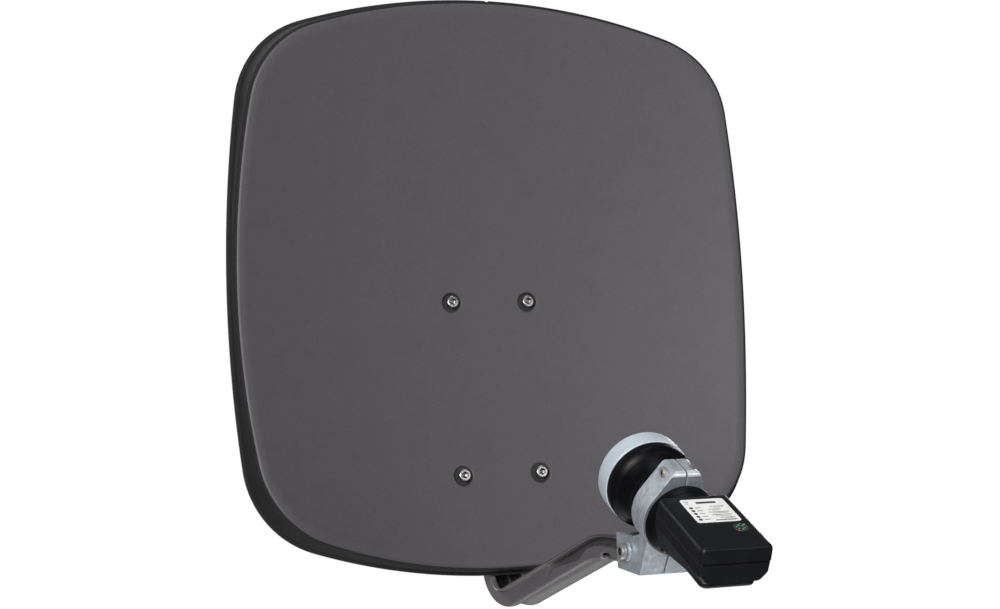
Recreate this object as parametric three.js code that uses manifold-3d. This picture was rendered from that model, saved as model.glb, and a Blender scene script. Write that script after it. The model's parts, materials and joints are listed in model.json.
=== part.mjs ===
// Offset satellite dish on a mast clamp, with a feed arm and a low-noise block (LNB).
// Millimetres. X is to the right of someone who faces the dish, -Y is the way the dish faces
// and +Z is up the mast. The origin is on the mast's axis, level with the middle of the clamp.
//
// Four frames are used, each a group inside the one before it:
//   mast   the fixed bracket, in the part's own frame
//   dish   origin in the middle of the reflector's mouth, Z up along the mouth, Y backwards
//   frame  origin in the middle of the four reflector screws, Z up along the rear frame
//   feed   origin in the middle of the feed cap, Z outwards along the LNB, Y up across it

import * as THREE from 'three';
import { mergeVertices } from 'three/addons/utils/BufferGeometryUtils.js';
import { ParametricGeometry } from 'three/addons/geometries/ParametricGeometry.js';
import Module from 'manifold-3d';

const wasm = await Module();
wasm.setup();

const DEG = Math.PI / 180;
const GAP = 0.3; // between pieces that touch
const CLEAR = 0.4; // radius of a screw hole over that of its shank
const SLOT_CLEAR = 0.7; // the same for the arc slots

// ---- driving dimensions ---------------------------------------------------------------

// reflector: an offset cut of a paraboloid inside a rounded square outline
const DISH_WIDTH = 450;
const DISH_HEIGHT = 481;
const FOCAL_LENGTH = 268;
const LOWEST_OFFSET = 18; // height of the lower edge over the paraboloid's own axis
const SHEET = 1.5;
const RIM_DEPTH = 15.4; // from the mouth's plane back to the lip
const RIM_FOLLOW = 0.4; // how far the lip follows the edge of the face
const LIP = 3;
const CORNER_RADIUS = 79.7;
const LIP_ARCS = { top: 504, side: 1247 };
const FACE_ARCS = { top: 439, side: 866 };
const FACE_INSET = { x: 8.5, z: 8.8 };

// four screws hold the reflector on the rear frame
const SCREW_SPACING = { x: 67, z: 145 };
const SCREW_MIDDLE_Z = -86.85; // in the dish frame
const SEAT_DEPTH = 2;
const SEAT_RADIUS = 8.4;
const PAD_RADIUS = 8.5;

// how the dish hangs on the mast
const DISH_TILT = 7.6 * DEG;
const PIVOT = { y: -72, z: -22 }; // in the part's frame
const PIVOT_IN_FRAME = { y: 45, z: -25 };
const LOCK_RADIUS = 44;
const TILT_UP = 18 * DEG;
const TILT_DOWN = 20 * DEG;

// rear frame and mast bracket, both bent from sheet
const PLATE = 2.5;
const FRAME_HALF_WIDTH = 53;
const FRAME_HALF_HEIGHT = 92;
const FRAME_FRONT = 10; // front of the frame's web, behind the plane of the screws
const CHEEK_DEPTH = 15; // away from the pivot
const SLOT_SPARE = 1.5 * DEG; // slot left over at each end of the tilt's travel
const BRACKET_HALF_WIDTH = FRAME_HALF_WIDTH - PLATE - GAP;
const BRACKET_HALF_HEIGHT = 45;
const BRACKET_WEB_Y = -30; // front of the bracket's web

// mast clamp
const MAST_RADIUS = 24;
const NOTCH_HALF_ANGLE = 60 * DEG;
const NOTCH_MOUTH = 34;
const CLAMP_BOLT_X = 37;
const JAW_HALF_WIDTH = 46;
const JAW_HALF_HEIGHT = 18;
const WASHER = 1.6;
const WASHER_RADIUS = 8;

// feed arm, a channel whose open side faces up and towards the dish
const ARM_HALF_WIDTH = 12.5;
const ARM_SHEET = 2.2;
const ARM_LIP = 3.5;
const ARM_LIP_END_Y = -245;
const ARM_TIP_Y = -284;
const ARM_TIP_Z = { floor: -215.8, open: -198.2 };
const ARM_HEAD_Z = -18; // upper end, in the frame's frame
const ARM_BOLT_Z = [-40, -72]; // in the frame's frame
const ARM_BACK = 33; // back of the arm, behind the plane of the screws

// LNB and its clamp
const FEED_SLOPE = 26.65 * DEG; // below the mouth's normal
const FEED_ORIGIN = { y: -255.3, z: -157.4 }; // in the dish frame
const CAP_RADIUS = 29.5;
const CAP_SKIRT = 16.6;
const HORN_RADIUS = 28.9;
const NECK_RADIUS = 20;
const BAND = { start: 47.5, end: 66 };
const BAND_RADIUS = 24.5;
const LUG = { halfWidth: 9.5, top: 32 };
const LUG_SCREW = { y: 27.5, z: 56.7 };
const NUT_POCKET_X = 5;
const FOOT_HALF_WIDTH = 16.5;
const FOOT_BOLT = { y: -270, z: -207 }; // in the dish frame
const SHELL = { start: 77, end: 140, halfWidth: 23, top: 22.2, seam: 11.5 };
const SHELL_WALL = 2;
const SHELL_SHOULDER = 3; // bevel along the top edges
const SHELL_BEVEL = { out: 5, top: 4.6, bottom: -1 }; // along the lower edges
const SHELL_RISE = { start: -12, end: -1 }; // height of the underside at the two ends
const SHELL_SCREW = { x: 16, z: 83, seat: -12, radius: 1.35, head: 2.8, headHeight: 2 };
const BOSS_RADIUS = 3.4;
const HOOD = { start: 104, end: 136.5, halfWidth: 17.7, top: 7.5, bottom: -6.5, wall: 1.6 };
const SOCKET = { x: 8.5, z: 120, end: -5.4, radius: 4.75, core: 3, coreDepth: 7, hex: 6.3 };
const BOARD = { halfWidth: 19, bottom: 9.2, top: 10.8, start: 90, end: 136 };
const LABEL = { left: -12.4, right: 16.6, start: 82, end: 109, thickness: 0.4 };
const LAMP = { x: 11.8, z: 117.5, radius: 4.8, thickness: 0.5 };
const ON_SHELL = 0.2; // gap under the label and the lamp window

// screws: shank radius, head radius, head height, socket size
const M5 = { shank: 2.4, head: 3.6, headHeight: 3, socket: 1.5, nut: 8, nutHeight: 4 };
const M6 = { shank: 2.9, head: 5, headHeight: 6, socket: 2.5, nut: 10, nutHeight: 5 };
const M8 = { shank: 3.9, head: 7.4, headHeight: 5.3, nut: 13, nutHeight: 6.5 };
const LENGTH = { reflector: 19, arm: 31, lug: 20, foot: 42, shell: 29, mast: 92, lock: 20, pivot: 117 };
const ROUND_HEAD = { radius: 6, height: 2.7 };
const FOOT_WASHER = { thickness: 2, radius: 6.5 };

const FINE = 24; // sides of the large round pieces
const COARSE = 12; // sides of screws and holes

// ---- solids ---------------------------------------------------------------------------

function toManifold(geometry) {
  const bare = geometry.clone();
  bare.deleteAttribute('normal');
  bare.deleteAttribute('uv');
  const merged = mergeVertices(bare, 1e-4);
  const index = merged.index.array;
  const triVerts = [];
  for (let i = 0; i < index.length; i += 3) {
    const [a, b, c] = [index[i], index[i + 1], index[i + 2]];
    if (a !== b && b !== c && c !== a) triVerts.push(a, b, c);
  }
  const vertProperties = new Float32Array(merged.attributes.position.array);
  return new wasm.Manifold(
    new wasm.Mesh({ numProp: 3, vertProperties, triVerts: new Uint32Array(triVerts) }),
  );
}

function toGeometry(solid) {
  const mesh = solid.getMesh();
  const geometry = new THREE.BufferGeometry();
  geometry.setAttribute('position', new THREE.BufferAttribute(mesh.vertProperties, 3));
  geometry.setIndex(new THREE.BufferAttribute(mesh.triVerts, 1));
  geometry.computeVertexNormals();
  return geometry;
}

const join = (...geometries) =>
  toGeometry(geometries.map(toManifold).reduce((whole, next) => whole.add(next)));

const cut = (geometry, ...tools) =>
  toGeometry(tools.map(toManifold).reduce((left, tool) => left.subtract(tool), toManifold(geometry)));

const keep = (geometry, tool) => toGeometry(toManifold(geometry).intersect(toManifold(tool)));

function block(x0, x1, y0, y1, z0, z1) {
  const box = new THREE.BoxGeometry(x1 - x0, y1 - y0, z1 - z0);
  return box.translate((x0 + x1) / 2, (y0 + y1) / 2, (z0 + z1) / 2);
}

function shapeOf(points) {
  return new THREE.Shape(points.map(([a, b]) => new THREE.Vector2(a, b)));
}

// a shape drawn in Y and Z, from x0 to x1
function sidePlate(shape, x0, x1) {
  const plate = new THREE.ExtrudeGeometry(shape, { depth: x1 - x0, bevelEnabled: false, curveSegments: 8 });
  const turn = new THREE.Matrix4().makeBasis(
    new THREE.Vector3(0, 1, 0),
    new THREE.Vector3(0, 0, 1),
    new THREE.Vector3(1, 0, 0),
  );
  return plate.applyMatrix4(turn).translate(x0, 0, 0);
}

// a shape drawn in X and Y, from z0 to z1
function flatPlate(shape, z0, z1) {
  const options = { depth: z1 - z0, bevelEnabled: false, curveSegments: 8 };
  return new THREE.ExtrudeGeometry(shape, options).translate(0, 0, z0);
}

// a rod whose flats clear `radius`, or whose corners reach it, along one axis
function rod(axis, from, to, radius, sides = COARSE, clear = false) {
  const corner = clear ? radius / Math.cos(Math.PI / sides) : radius;
  const cylinder = new THREE.CylinderGeometry(corner, corner, to - from, sides);
  cylinder.translate(0, (from + to) / 2, 0);
  if (axis === 'x') cylinder.rotateZ(-Math.PI / 2);
  if (axis === 'z') cylinder.rotateX(Math.PI / 2);
  return cylinder;
}

const hole = (axis, from, to, radius, sides = COARSE) => rod(axis, from, to, radius, sides, true);

// a profile of [radius, height] points turned about the Z axis
function turned(profile, sides = FINE) {
  const points = profile.map(([radius, height]) => new THREE.Vector2(radius, height));
  return new THREE.LatheGeometry([...points, points[0]], sides).rotateX(Math.PI / 2);
}

const at = (geometry, x, y, z) => geometry.clone().translate(x, y, z);

// ---- fasteners, along +Y from the seat of the head ---------------------------------------

function socketScrew(size, length) {
  const body = join(rod('y', -size.headHeight, 0, size.head), rod('y', -1, length, size.shank));
  const socket = rod('y', -size.headHeight - 1, -size.headHeight / 2, size.socket, 6);
  return cut(body, socket);
}

function hexScrew(size, length) {
  const head = rod('y', -size.headHeight, 0, size.head, 6);
  return join(head, rod('y', -1, length, size.shank));
}

function roundHeadScrew(size, length) {
  const head = rod('y', -ROUND_HEAD.height, 0, ROUND_HEAD.radius);
  return join(head, rod('y', -1, length, size.shank));
}

function nut(size) {
  const body = rod('y', 0, size.nutHeight, size.nut / 2 / Math.cos(Math.PI / 6), 6);
  return cut(body, hole('y', -1, size.nutHeight + 1, size.shank + CLEAR));
}

function washer(size, thickness, radius) {
  return cut(rod('y', 0, thickness, radius), hole('y', -1, thickness + 1, size.shank + CLEAR));
}

// ---- reflector ----------------------------------------------------------------------------

// the offset cut: `angle` turns the paraboloid so that the mouth's plane stands upright
function offsetCut() {
  const reach = DISH_HEIGHT / 2;
  let angle = 0;
  for (let pass = 0; pass < 20; pass += 1) {
    const top = LOWEST_OFFSET + 2 * reach * Math.cos(angle);
    angle = Math.atan((LOWEST_OFFSET + top) / (4 * FOCAL_LENGTH));
  }
  const low = LOWEST_OFFSET;
  const high = low + 2 * reach * Math.cos(angle);
  const middleHeight = (low + high) / 2;
  const middleDepth = (low * low + high * high) / (8 * FOCAL_LENGTH);
  return { angle, middleHeight, middleDepth };
}

const OFFSET_CUT = offsetCut();

// how far the face stands in front of the mouth's plane at a place on it
function faceForward(x, z) {
  const { angle, middleHeight, middleDepth } = OFFSET_CUT;
  const sin = Math.sin(angle);
  const cos = Math.cos(angle);
  const height = middleHeight + z * cos;
  const a = sin * sin;
  const b = -(2 * sin * height + 4 * FOCAL_LENGTH * cos);
  const c = x * x + height * height - 4 * FOCAL_LENGTH * (middleDepth + z * sin);
  return (-b - Math.sqrt(b * b - 4 * a * c)) / (2 * a);
}

// distance from the middle to an outline of four long arcs joined by round corners
function outlineRadius(turn, halfWidth, halfHeight, arcs) {
  const side = new THREE.Vector2(halfWidth - arcs.side, 0);
  const top = new THREE.Vector2(0, halfHeight - arcs.top);
  const toSide = arcs.side - CORNER_RADIUS;
  const toTop = arcs.top - CORNER_RADIUS;
  const span = side.distanceTo(top);
  const along = (toSide * toSide - toTop * toTop + span * span) / (2 * span);
  const across = Math.sqrt(toSide * toSide - along * along);
  const line = top.clone().sub(side).normalize();
  const corner = side.clone().addScaledVector(line, along);
  corner.add(new THREE.Vector2(-line.y, line.x).multiplyScalar(across));
  const sideEnd = corner.clone().sub(side).setLength(arcs.side).add(side);
  const topStart = corner.clone().sub(top).setLength(arcs.top).add(top);
  const ray = new THREE.Vector2(Math.abs(Math.cos(turn)), Math.abs(Math.sin(turn)));
  let centre = corner;
  let radius = CORNER_RADIUS;
  if (ray.angle() < sideEnd.angle()) [centre, radius] = [side, arcs.side];
  if (ray.angle() > topStart.angle()) [centre, radius] = [top, arcs.top];
  const reach = ray.dot(centre);
  return reach + Math.sqrt(radius * radius - centre.lengthSq() + reach * reach);
}

const RINGS = [0, 0.3, 0.55, 0.78, 0.93, 1];
const EDGE_SIDES = 64;

// the section from the middle of the face out over the rim and back behind it, as
// [outwards from the edge, backwards from the face] or a share of the way to the edge
function reflectorGeometry() {
  const face = RINGS.map((share) => ({ share, back: 0 }));
  const behind = RINGS.map((share) => ({ share, back: SHEET })).reverse();
  const outside = [{ out: 3.4, back: 1.4 }, { out: 5.2, back: 4.6 }, { lip: -LIP, lift: SHEET }];
  const lip = [{ lip: 0, lift: SHEET }, { lip: 0, lift: 0 }];
  const inside = [{ lip: -LIP - SHEET, lift: 0 }, { out: 3.6, back: 5 }, { out: 2.3, back: 2.9 }];
  const stations = [...face, ...outside, ...lip, ...inside, ...behind];
  const halfWidth = DISH_WIDTH / 2;
  const halfHeight = DISH_HEIGHT / 2;

  const surface = (u, v, target) => {
    const turn = -u * 2 * Math.PI;
    const station = stations[Math.round(v * (stations.length - 1))];
    const edge = outlineRadius(turn, halfWidth - FACE_INSET.x, halfHeight - FACE_INSET.z, FACE_ARCS);
    const rim = outlineRadius(turn, halfWidth, halfHeight, LIP_ARCS);
    const edgeForward = faceForward(edge * Math.cos(turn), edge * Math.sin(turn));
    let reach = edge + (station.out ?? 0);
    let y = -edgeForward + station.back;
    if (station.share !== undefined) {
      reach = edge * station.share;
      y = -faceForward(reach * Math.cos(turn), reach * Math.sin(turn)) + station.back;
    }
    if (station.lip !== undefined) {
      reach = rim + station.lip;
      y = RIM_DEPTH - RIM_FOLLOW * edgeForward - station.lift;
    }
    target.set(reach * Math.cos(turn), y, reach * Math.sin(turn));
  };
  return new ParametricGeometry(surface, EDGE_SIDES, stations.length - 1);
}

// ---- how the frames sit in one another -------------------------------------------------

const screwPlaces = [];
for (const z of [1, -1]) {
  for (const x of [-1, 1]) {
    const name = `${z > 0 ? 'upper' : 'lower'}_${x < 0 ? 'left' : 'right'}`;
    screwPlaces.push({ name, x: (x * SCREW_SPACING.x) / 2, z: (z * SCREW_SPACING.z) / 2 });
  }
}

function frameInDish() {
  const [upper, lower] = [1, -1].map((end) => {
    const z = SCREW_MIDDLE_Z + (end * SCREW_SPACING.z) / 2;
    return { y: -faceForward(SCREW_SPACING.x / 2, z), z };
  });
  const y = (upper.y + lower.y) / 2;
  const lean = Math.atan2(upper.y - lower.y, upper.z - lower.z);
  return { y, z: SCREW_MIDDLE_Z, lean };
}

const FRAME = frameInDish();

// a point given as Y and Z in a frame that leans back by `lean`, in the frame around it
function lean(point, angle, origin) {
  return {
    y: origin.y + point.y * Math.cos(angle) + point.z * Math.sin(angle),
    z: origin.z - point.y * Math.sin(angle) + point.z * Math.cos(angle),
  };
}

const frameToDish = (y, z) => lean({ y, z }, FRAME.lean, FRAME);

function dishInMast() {
  const pivot = frameToDish(PIVOT_IN_FRAME.y, PIVOT_IN_FRAME.z);
  const hung = lean(pivot, DISH_TILT, { y: 0, z: 0 });
  return { y: PIVOT.y - hung.y, z: PIVOT.z - hung.z };
}

const DISH = dishInMast();

// a point given as Y and Z in the dish frame, in the feed's frame
function dishToFeed(y, z) {
  const [dy, dz] = [y - FEED_ORIGIN.y, z - FEED_ORIGIN.z];
  return {
    y: -dy * Math.sin(FEED_SLOPE) + dz * Math.cos(FEED_SLOPE),
    z: -dy * Math.cos(FEED_SLOPE) - dz * Math.sin(FEED_SLOPE),
  };
}

// ---- the dish's own pieces -------------------------------------------------------------

// the rear frame's middle plane runs through the seats, so the seats are made in its frame
function toFrameSpace(geometry) {
  return geometry.translate(0, -FRAME.y, -FRAME.z).rotateX(FRAME.lean);
}

function reflector() {
  let shell = toFrameSpace(reflectorGeometry());
  const screwHole = M6.shank + CLEAR;
  const seatProfile = [
    [screwHole, SEAT_DEPTH],
    [SEAT_RADIUS - 1.4, SEAT_DEPTH],
    [SEAT_RADIUS, -0.4],
    [SEAT_RADIUS + 1, -0.4],
    [SEAT_RADIUS + 1, SEAT_DEPTH + SHEET],
    [screwHole, SEAT_DEPTH + SHEET],
  ];
  const seat = turned(seatProfile, 20).rotateX(-Math.PI / 2);
  for (const { x, z } of screwPlaces) {
    shell = cut(shell, at(rod('y', -8, 8, SEAT_RADIUS + 0.5, 20), x, 0, z));
    shell = join(shell, at(seat, x, 0, z));
  }
  return shell;
}

function cheekShape() {
  const { y, z } = PIVOT_IN_FRAME;
  const back = FRAME_FRONT + CHEEK_DEPTH;
  return shapeOf([
    [FRAME_FRONT, -FRAME_HALF_HEIGHT],
    [back, -FRAME_HALF_HEIGHT],
    [back, z - 34],
    [y - 6, z - 15],
    [y + 6, z - 15],
    [y + 15, z - 6],
    [y + 18, z + 50],
    [y + 10, z + 66],
    [back, z + 70],
    [back, FRAME_HALF_HEIGHT],
    [FRAME_FRONT, FRAME_HALF_HEIGHT],
  ]);
}

// the arc slot that the lock screws run in, as a fan of overlapping holes joined up
function arcSlot(x0, x1) {
  const upright = FRAME.lean + DISH_TILT;
  const from = -(upright + TILT_UP + SLOT_SPARE);
  const to = -(upright - TILT_DOWN - SLOT_SPARE);
  const half = M8.shank + SLOT_CLEAR;
  const steps = 10;
  const outer = [];
  const inner = [];
  for (let i = 0; i <= steps; i += 1) {
    const turn = from + ((to - from) * i) / steps;
    const [y, z] = [Math.sin(turn), Math.cos(turn)];
    outer.push([y * (LOCK_RADIUS + half), z * (LOCK_RADIUS + half)]);
    inner.unshift([y * (LOCK_RADIUS - half), z * (LOCK_RADIUS - half)]);
  }
  const slot = sidePlate(shapeOf([...outer, ...inner].reverse()), x0, x1);
  const ends = [from, to].map((turn) =>
    at(hole('x', x0, x1, half), 0, LOCK_RADIUS * Math.sin(turn), LOCK_RADIUS * Math.cos(turn)));
  return at(join(slot, ...ends), 0, PIVOT_IN_FRAME.y, PIVOT_IN_FRAME.z);
}

function rearFrame() {
  const web = block(
    -FRAME_HALF_WIDTH, FRAME_HALF_WIDTH, FRAME_FRONT, FRAME_FRONT + PLATE,
    -FRAME_HALF_HEIGHT, FRAME_HALF_HEIGHT,
  );
  const cheeks = [-FRAME_HALF_WIDTH, FRAME_HALF_WIDTH - PLATE].map((x) =>
    sidePlate(cheekShape(), x, x + PLATE));
  const padFront = SEAT_DEPTH + SHEET + GAP;
  const pads = screwPlaces.map(({ x, z }) => at(rod('y', padFront, FRAME_FRONT + 1, PAD_RADIUS), x, 0, z));
  const screwHoles = screwPlaces.map(({ x, z }) => at(hole('y', 0, 20, M6.shank + CLEAR), x, 0, z));
  const armHoles = ARM_BOLT_Z.map((z) => at(hole('y', 0, 20, M6.shank + CLEAR), 0, 0, z));
  const pivotHole = hole('x', -60, 60, M8.shank + CLEAR);
  return cut(
    join(web, ...cheeks, ...pads),
    ...screwHoles,
    ...armHoles,
    at(pivotHole, 0, PIVOT_IN_FRAME.y, PIVOT_IN_FRAME.z),
    arcSlot(-60, 60),
  );
}

// the arm's lower and back edge, from its top end behind the dish to its tip, in the dish frame
function armOuterEdge() {
  const top = frameToDish(ARM_BACK, ARM_HEAD_Z);
  const frameEnd = frameToDish(ARM_BACK, -FRAME_HALF_HEIGHT);
  const edge = new THREE.Path();
  edge.moveTo(top.y, top.z);
  edge.lineTo(frameEnd.y, frameEnd.z);
  edge.lineTo(54, -232);
  edge.bezierCurveTo(54, -255, 18, -271, -22, -261.2);
  edge.lineTo(-178, -220.3);
  edge.quadraticCurveTo(-196, ARM_TIP_Z.floor, -214, ARM_TIP_Z.floor);
  edge.lineTo(ARM_TIP_Y, ARM_TIP_Z.floor);
  return edge.getPoints(10);
}

// the arm's open edge, from its tip back to its top end
function armOpenEdge() {
  const top = frameToDish(FRAME_FRONT + PLATE + GAP, ARM_HEAD_Z);
  const frameEnd = frameToDish(FRAME_FRONT + PLATE + GAP, -FRAME_HALF_HEIGHT);
  const edge = new THREE.Path();
  edge.moveTo(ARM_TIP_Y, ARM_TIP_Z.open);
  edge.lineTo(ARM_LIP_END_Y, ARM_TIP_Z.open);
  edge.lineTo(-226, ARM_TIP_Z.open);
  edge.quadraticCurveTo(-211, ARM_TIP_Z.open, -196, -201.7);
  edge.lineTo(-18, -246);
  edge.bezierCurveTo(-2, -250, 14, -258, 25, -232);
  edge.lineTo(frameEnd.y, frameEnd.z);
  edge.lineTo(top.y, top.z);
  return edge.getPoints(10);
}

// points moved sideways by `distance`, to the left of the way they run
function offsetLine(points, distance) {
  return points.map((point, i) => {
    const before = points[Math.max(i - 1, 0)];
    const after = points[Math.min(i + 1, points.length - 1)];
    const along = after.clone().sub(before).normalize();
    return point.clone().add(new THREE.Vector2(-along.y, along.x).multiplyScalar(distance));
  });
}

function feedArm() {
  const outer = armOuterEdge();
  const open = armOpenEdge();
  const solid = sidePlate(new THREE.Shape([...outer, ...open]), -ARM_HALF_WIDTH, ARM_HALF_WIDTH);

  const lipEdge = open.filter((point) => point.x >= ARM_LIP_END_Y);
  const lipShape = new THREE.Shape([...lipEdge, ...offsetLine(lipEdge, -ARM_SHEET).reverse()]);
  const lipReach = ARM_HALF_WIDTH + ARM_LIP;
  const lips = sidePlate(lipShape, -lipReach, lipReach);

  const floor = offsetLine(outer, -ARM_SHEET);
  const above = offsetLine(open, ARM_LIP + ARM_SHEET);
  const past = 10;
  floor[0].y += past;
  above[above.length - 1].y += past;
  floor[floor.length - 1].x -= past;
  above[0].x -= past;
  const inside = ARM_HALF_WIDTH - ARM_SHEET;
  const hollow = sidePlate(new THREE.Shape([...floor, ...above]), -inside, inside);

  const holes = ARM_BOLT_Z.map((z) => {
    const place = frameToDish(0, z);
    return hole('y', 0, 60, M6.shank + CLEAR).rotateX(-FRAME.lean).translate(0, place.y, place.z);
  });
  const footHole = at(hole('x', -30, 30, M6.shank + CLEAR), 0, FOOT_BOLT.y, FOOT_BOLT.z);
  return cut(join(solid, lips), hollow, ...holes, footHole);
}

// ---- the clamp that holds the LNB, in the feed's frame -----------------------------------

// the band's outline across the LNB: round below, with flat flanks up to the lug
function bandShape() {
  const { halfWidth, top } = LUG;
  const lugTurn = Math.atan2(top, halfWidth);
  const touch = lugTurn - Math.acos(BAND_RADIUS / Math.hypot(top, halfWidth));
  const shape = new THREE.Shape();
  shape.moveTo(-halfWidth + 1.5, top);
  shape.lineTo(-halfWidth, top - 1.5);
  shape.absarc(0, 0, BAND_RADIUS, Math.PI - touch, touch, false);
  shape.lineTo(halfWidth, top - 1.5);
  shape.lineTo(halfWidth - 1.5, top);
  return shape;
}

function footShape() {
  const corners = [[-251.5, -195.7], [-251.6, -218.6], [-286, -221.5]].map(([y, z]) => dishToFeed(y, z));
  return shapeOf([
    ...corners.map(({ y, z }) => [y, z]),
    [-12, 60.5],
    [-12, BAND.start],
    [-19, BAND.start],
    [-26, 38],
  ]);
}

function armSlotShape() {
  const corners = [[-240, -190], [-240, -216.1], [-284.5, -216.1], [-284.5, -190]];
  const places = corners.map(([y, z]) => dishToFeed(y, z));
  return shapeOf(places.map(({ y, z }) => [y, z]));
}

function clampBody() {
  const band = flatPlate(bandShape(), BAND.start, BAND.end);
  const foot = sidePlate(footShape(), -FOOT_HALF_WIDTH, FOOT_HALF_WIDTH);
  const bore = hole('z', 30, 90, NECK_RADIUS + GAP, FINE);
  const slotReach = ARM_HALF_WIDTH + GAP;
  const slot = sidePlate(armSlotShape(), -slotReach, slotReach);
  const lugHole = at(hole('x', -30, 30, M5.shank + CLEAR), 0, LUG_SCREW.y, LUG_SCREW.z);
  const headRoom = at(hole('x', -30, -LUG.halfWidth, M5.head + GAP), 0, LUG_SCREW.y, LUG_SCREW.z);
  const flats = M5.nut / 2 + GAP;
  const corners = M5.nut / 2 / Math.cos(Math.PI / 6) + GAP;
  const nutRoom = at(block(NUT_POCKET_X, 30, -flats, flats, -corners, corners), 0, LUG_SCREW.y, LUG_SCREW.z);
  const bolt = dishToFeed(FOOT_BOLT.y, FOOT_BOLT.z);
  const boltHole = at(hole('x', -30, 30, M6.shank + CLEAR), 0, bolt.y, bolt.z);
  return cut(join(band, foot), bore, slot, lugHole, headRoom, nutRoom, boltHole);
}

function clampHalves() {
  const whole = clampBody();
  const half = GAP / 2;
  return {
    left: keep(whole, block(-60, -half, -80, 60, 0, 90)),
    right: keep(whole, block(half, 60, -80, 60, 0, 90)),
  };
}

// ---- the LNB, in the feed's frame ---------------------------------------------------------

function feedCap() {
  const wall = 1.5;
  return turned([
    [0, 0],
    [CAP_RADIUS - 4, 0],
    [CAP_RADIUS - 1.2, 1.2],
    [CAP_RADIUS, 4],
    [CAP_RADIUS, CAP_SKIRT],
    [CAP_RADIUS - wall, CAP_SKIRT],
    [CAP_RADIUS - wall, 4],
    [CAP_RADIUS - 4, wall],
    [0, wall],
  ]);
}

function capSeal() {
  const inner = CAP_RADIUS - 2.2;
  return turned([[inner, 8], [inner + 0.45, 8], [inner + 0.45, 9.6], [inner, 9.6]]);
}

function feedHorn() {
  return turned([
    [24.5, 3],
    [CAP_RADIUS - 2.5, 3],
    [CAP_RADIUS - 2.5, CAP_SKIRT + GAP],
    [HORN_RADIUS, CAP_SKIRT + GAP],
    [HORN_RADIUS, 22],
    [26, 27],
    [22, 31],
    [NECK_RADIUS + 1, 37],
    [9, 37],
    [9, 30],
    [18, 14],
  ]);
}

function feedNeck() {
  return turned([
    [9, 37 + GAP],
    [NECK_RADIUS, 37 + GAP],
    [NECK_RADIUS, BAND.end + 0.6],
    [22.5, BAND.end + 1.6],
    [22.5, SHELL.start - 1.5],
    [21, SHELL.start - GAP],
    [9, SHELL.start - GAP],
  ]);
}

// the housing's section across the LNB: square shoulders and bevelled lower edges
function housingSection(inset) {
  const half = SHELL.halfWidth - inset;
  const top = SHELL.top - inset;
  const foot = half - SHELL_BEVEL.out;
  const below = 2 * SHELL_RISE.start;
  return shapeOf([
    [-half + SHELL_SHOULDER, top],
    [-half, top - SHELL_SHOULDER],
    [-half, SHELL_BEVEL.top],
    [-foot, SHELL_BEVEL.bottom],
    [-foot, below],
    [foot, below],
    [foot, SHELL_BEVEL.bottom],
    [half, SHELL_BEVEL.top],
    [half, top - SHELL_SHOULDER],
    [half - SHELL_SHOULDER, top],
  ].reverse());
}

// the housing's underside rises from the neck to the outer end
function housingSide(inset) {
  const { start, end, top } = SHELL;
  return shapeOf([
    [top - inset + 1, start + inset],
    [top - inset + 1, end - inset],
    [SHELL_RISE.end + inset, end - inset],
    [SHELL_RISE.start + inset, start + inset],
  ]);
}

function housing(inset) {
  const across = flatPlate(housingSection(inset), SHELL.start + inset, SHELL.end - inset);
  return keep(across, sidePlate(housingSide(inset), -30, 30));
}

const shellScrewXs = [-SHELL_SCREW.x, SHELL_SCREW.x];

function upperShell() {
  const above = block(-40, 40, SHELL.seam + GAP / 2, 60, 0, 200);
  const lid = cut(keep(housing(0), above), housing(SHELL_WALL));
  const bosses = shellScrewXs.map((x) =>
    at(rod('y', SHELL.seam + 1, SHELL.top - 1, BOSS_RADIUS), x, 0, SHELL_SCREW.z));
  const bore = hole('y', 0, SHELL.top - 4, SHELL_SCREW.radius + CLEAR);
  const holes = shellScrewXs.map((x) => at(bore, x, 0, SHELL_SCREW.z));
  return cut(join(lid, ...bosses), ...holes);
}

function lowerShell() {
  const below = block(-40, 40, -60, SHELL.seam - GAP / 2, 0, 200);
  const tray = cut(keep(housing(0), below), housing(SHELL_WALL));
  const reach = HOOD.halfWidth + GAP;
  const opening = block(-reach, reach, -40, 3, HOOD.start - GAP, HOOD.end + GAP);
  const bore = hole('y', -40, 8, SHELL_SCREW.radius + CLEAR);
  const holes = shellScrewXs.map((x) => at(bore, x, 0, SHELL_SCREW.z));
  return cut(tray, opening, ...holes);
}

function shellScrew() {
  const { radius, head, headHeight } = SHELL_SCREW;
  return join(rod('y', -headHeight, 0, head), rod('y', -1, LENGTH.shell, radius, 8));
}

function circuitBoard() {
  const { halfWidth, bottom, top, start, end } = BOARD;
  const board = block(-halfWidth, halfWidth, bottom, top, start, end);
  const pinHoles = [-SOCKET.x, SOCKET.x].map((x) => at(hole('y', 0, 20, 1), x, 0, SOCKET.z));
  return cut(board, ...pinHoles);
}

// a threaded cable socket: hexagon base, barrel, and a hole for the cable's core
function cableSocket() {
  const base = rod('y', 3, 6, SOCKET.hex, 6);
  const barrel = rod('y', SOCKET.end, BOARD.bottom - GAP, SOCKET.radius, 16);
  const core = rod('y', SOCKET.end - 1, SOCKET.end + SOCKET.coreDepth, SOCKET.core);
  return cut(join(base, barrel), core);
}

function weatherHood() {
  const { halfWidth, bottom, top, start, end, wall } = HOOD;
  const inner = halfWidth - wall;
  const outside = block(-halfWidth, halfWidth, bottom, top, start, end);
  return cut(outside, block(-inner, inner, bottom - 1, top + 1, start + wall, end - wall));
}

function ratingLabel() {
  const bottom = SHELL.top + ON_SHELL;
  return block(LABEL.left, LABEL.right, bottom, bottom + LABEL.thickness, LABEL.start, LABEL.end);
}

function lampWindow() {
  const bottom = SHELL.top + ON_SHELL;
  return at(rod('y', bottom, bottom + LAMP.thickness, LAMP.radius, 20), LAMP.x, 0, LAMP.z);
}

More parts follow.
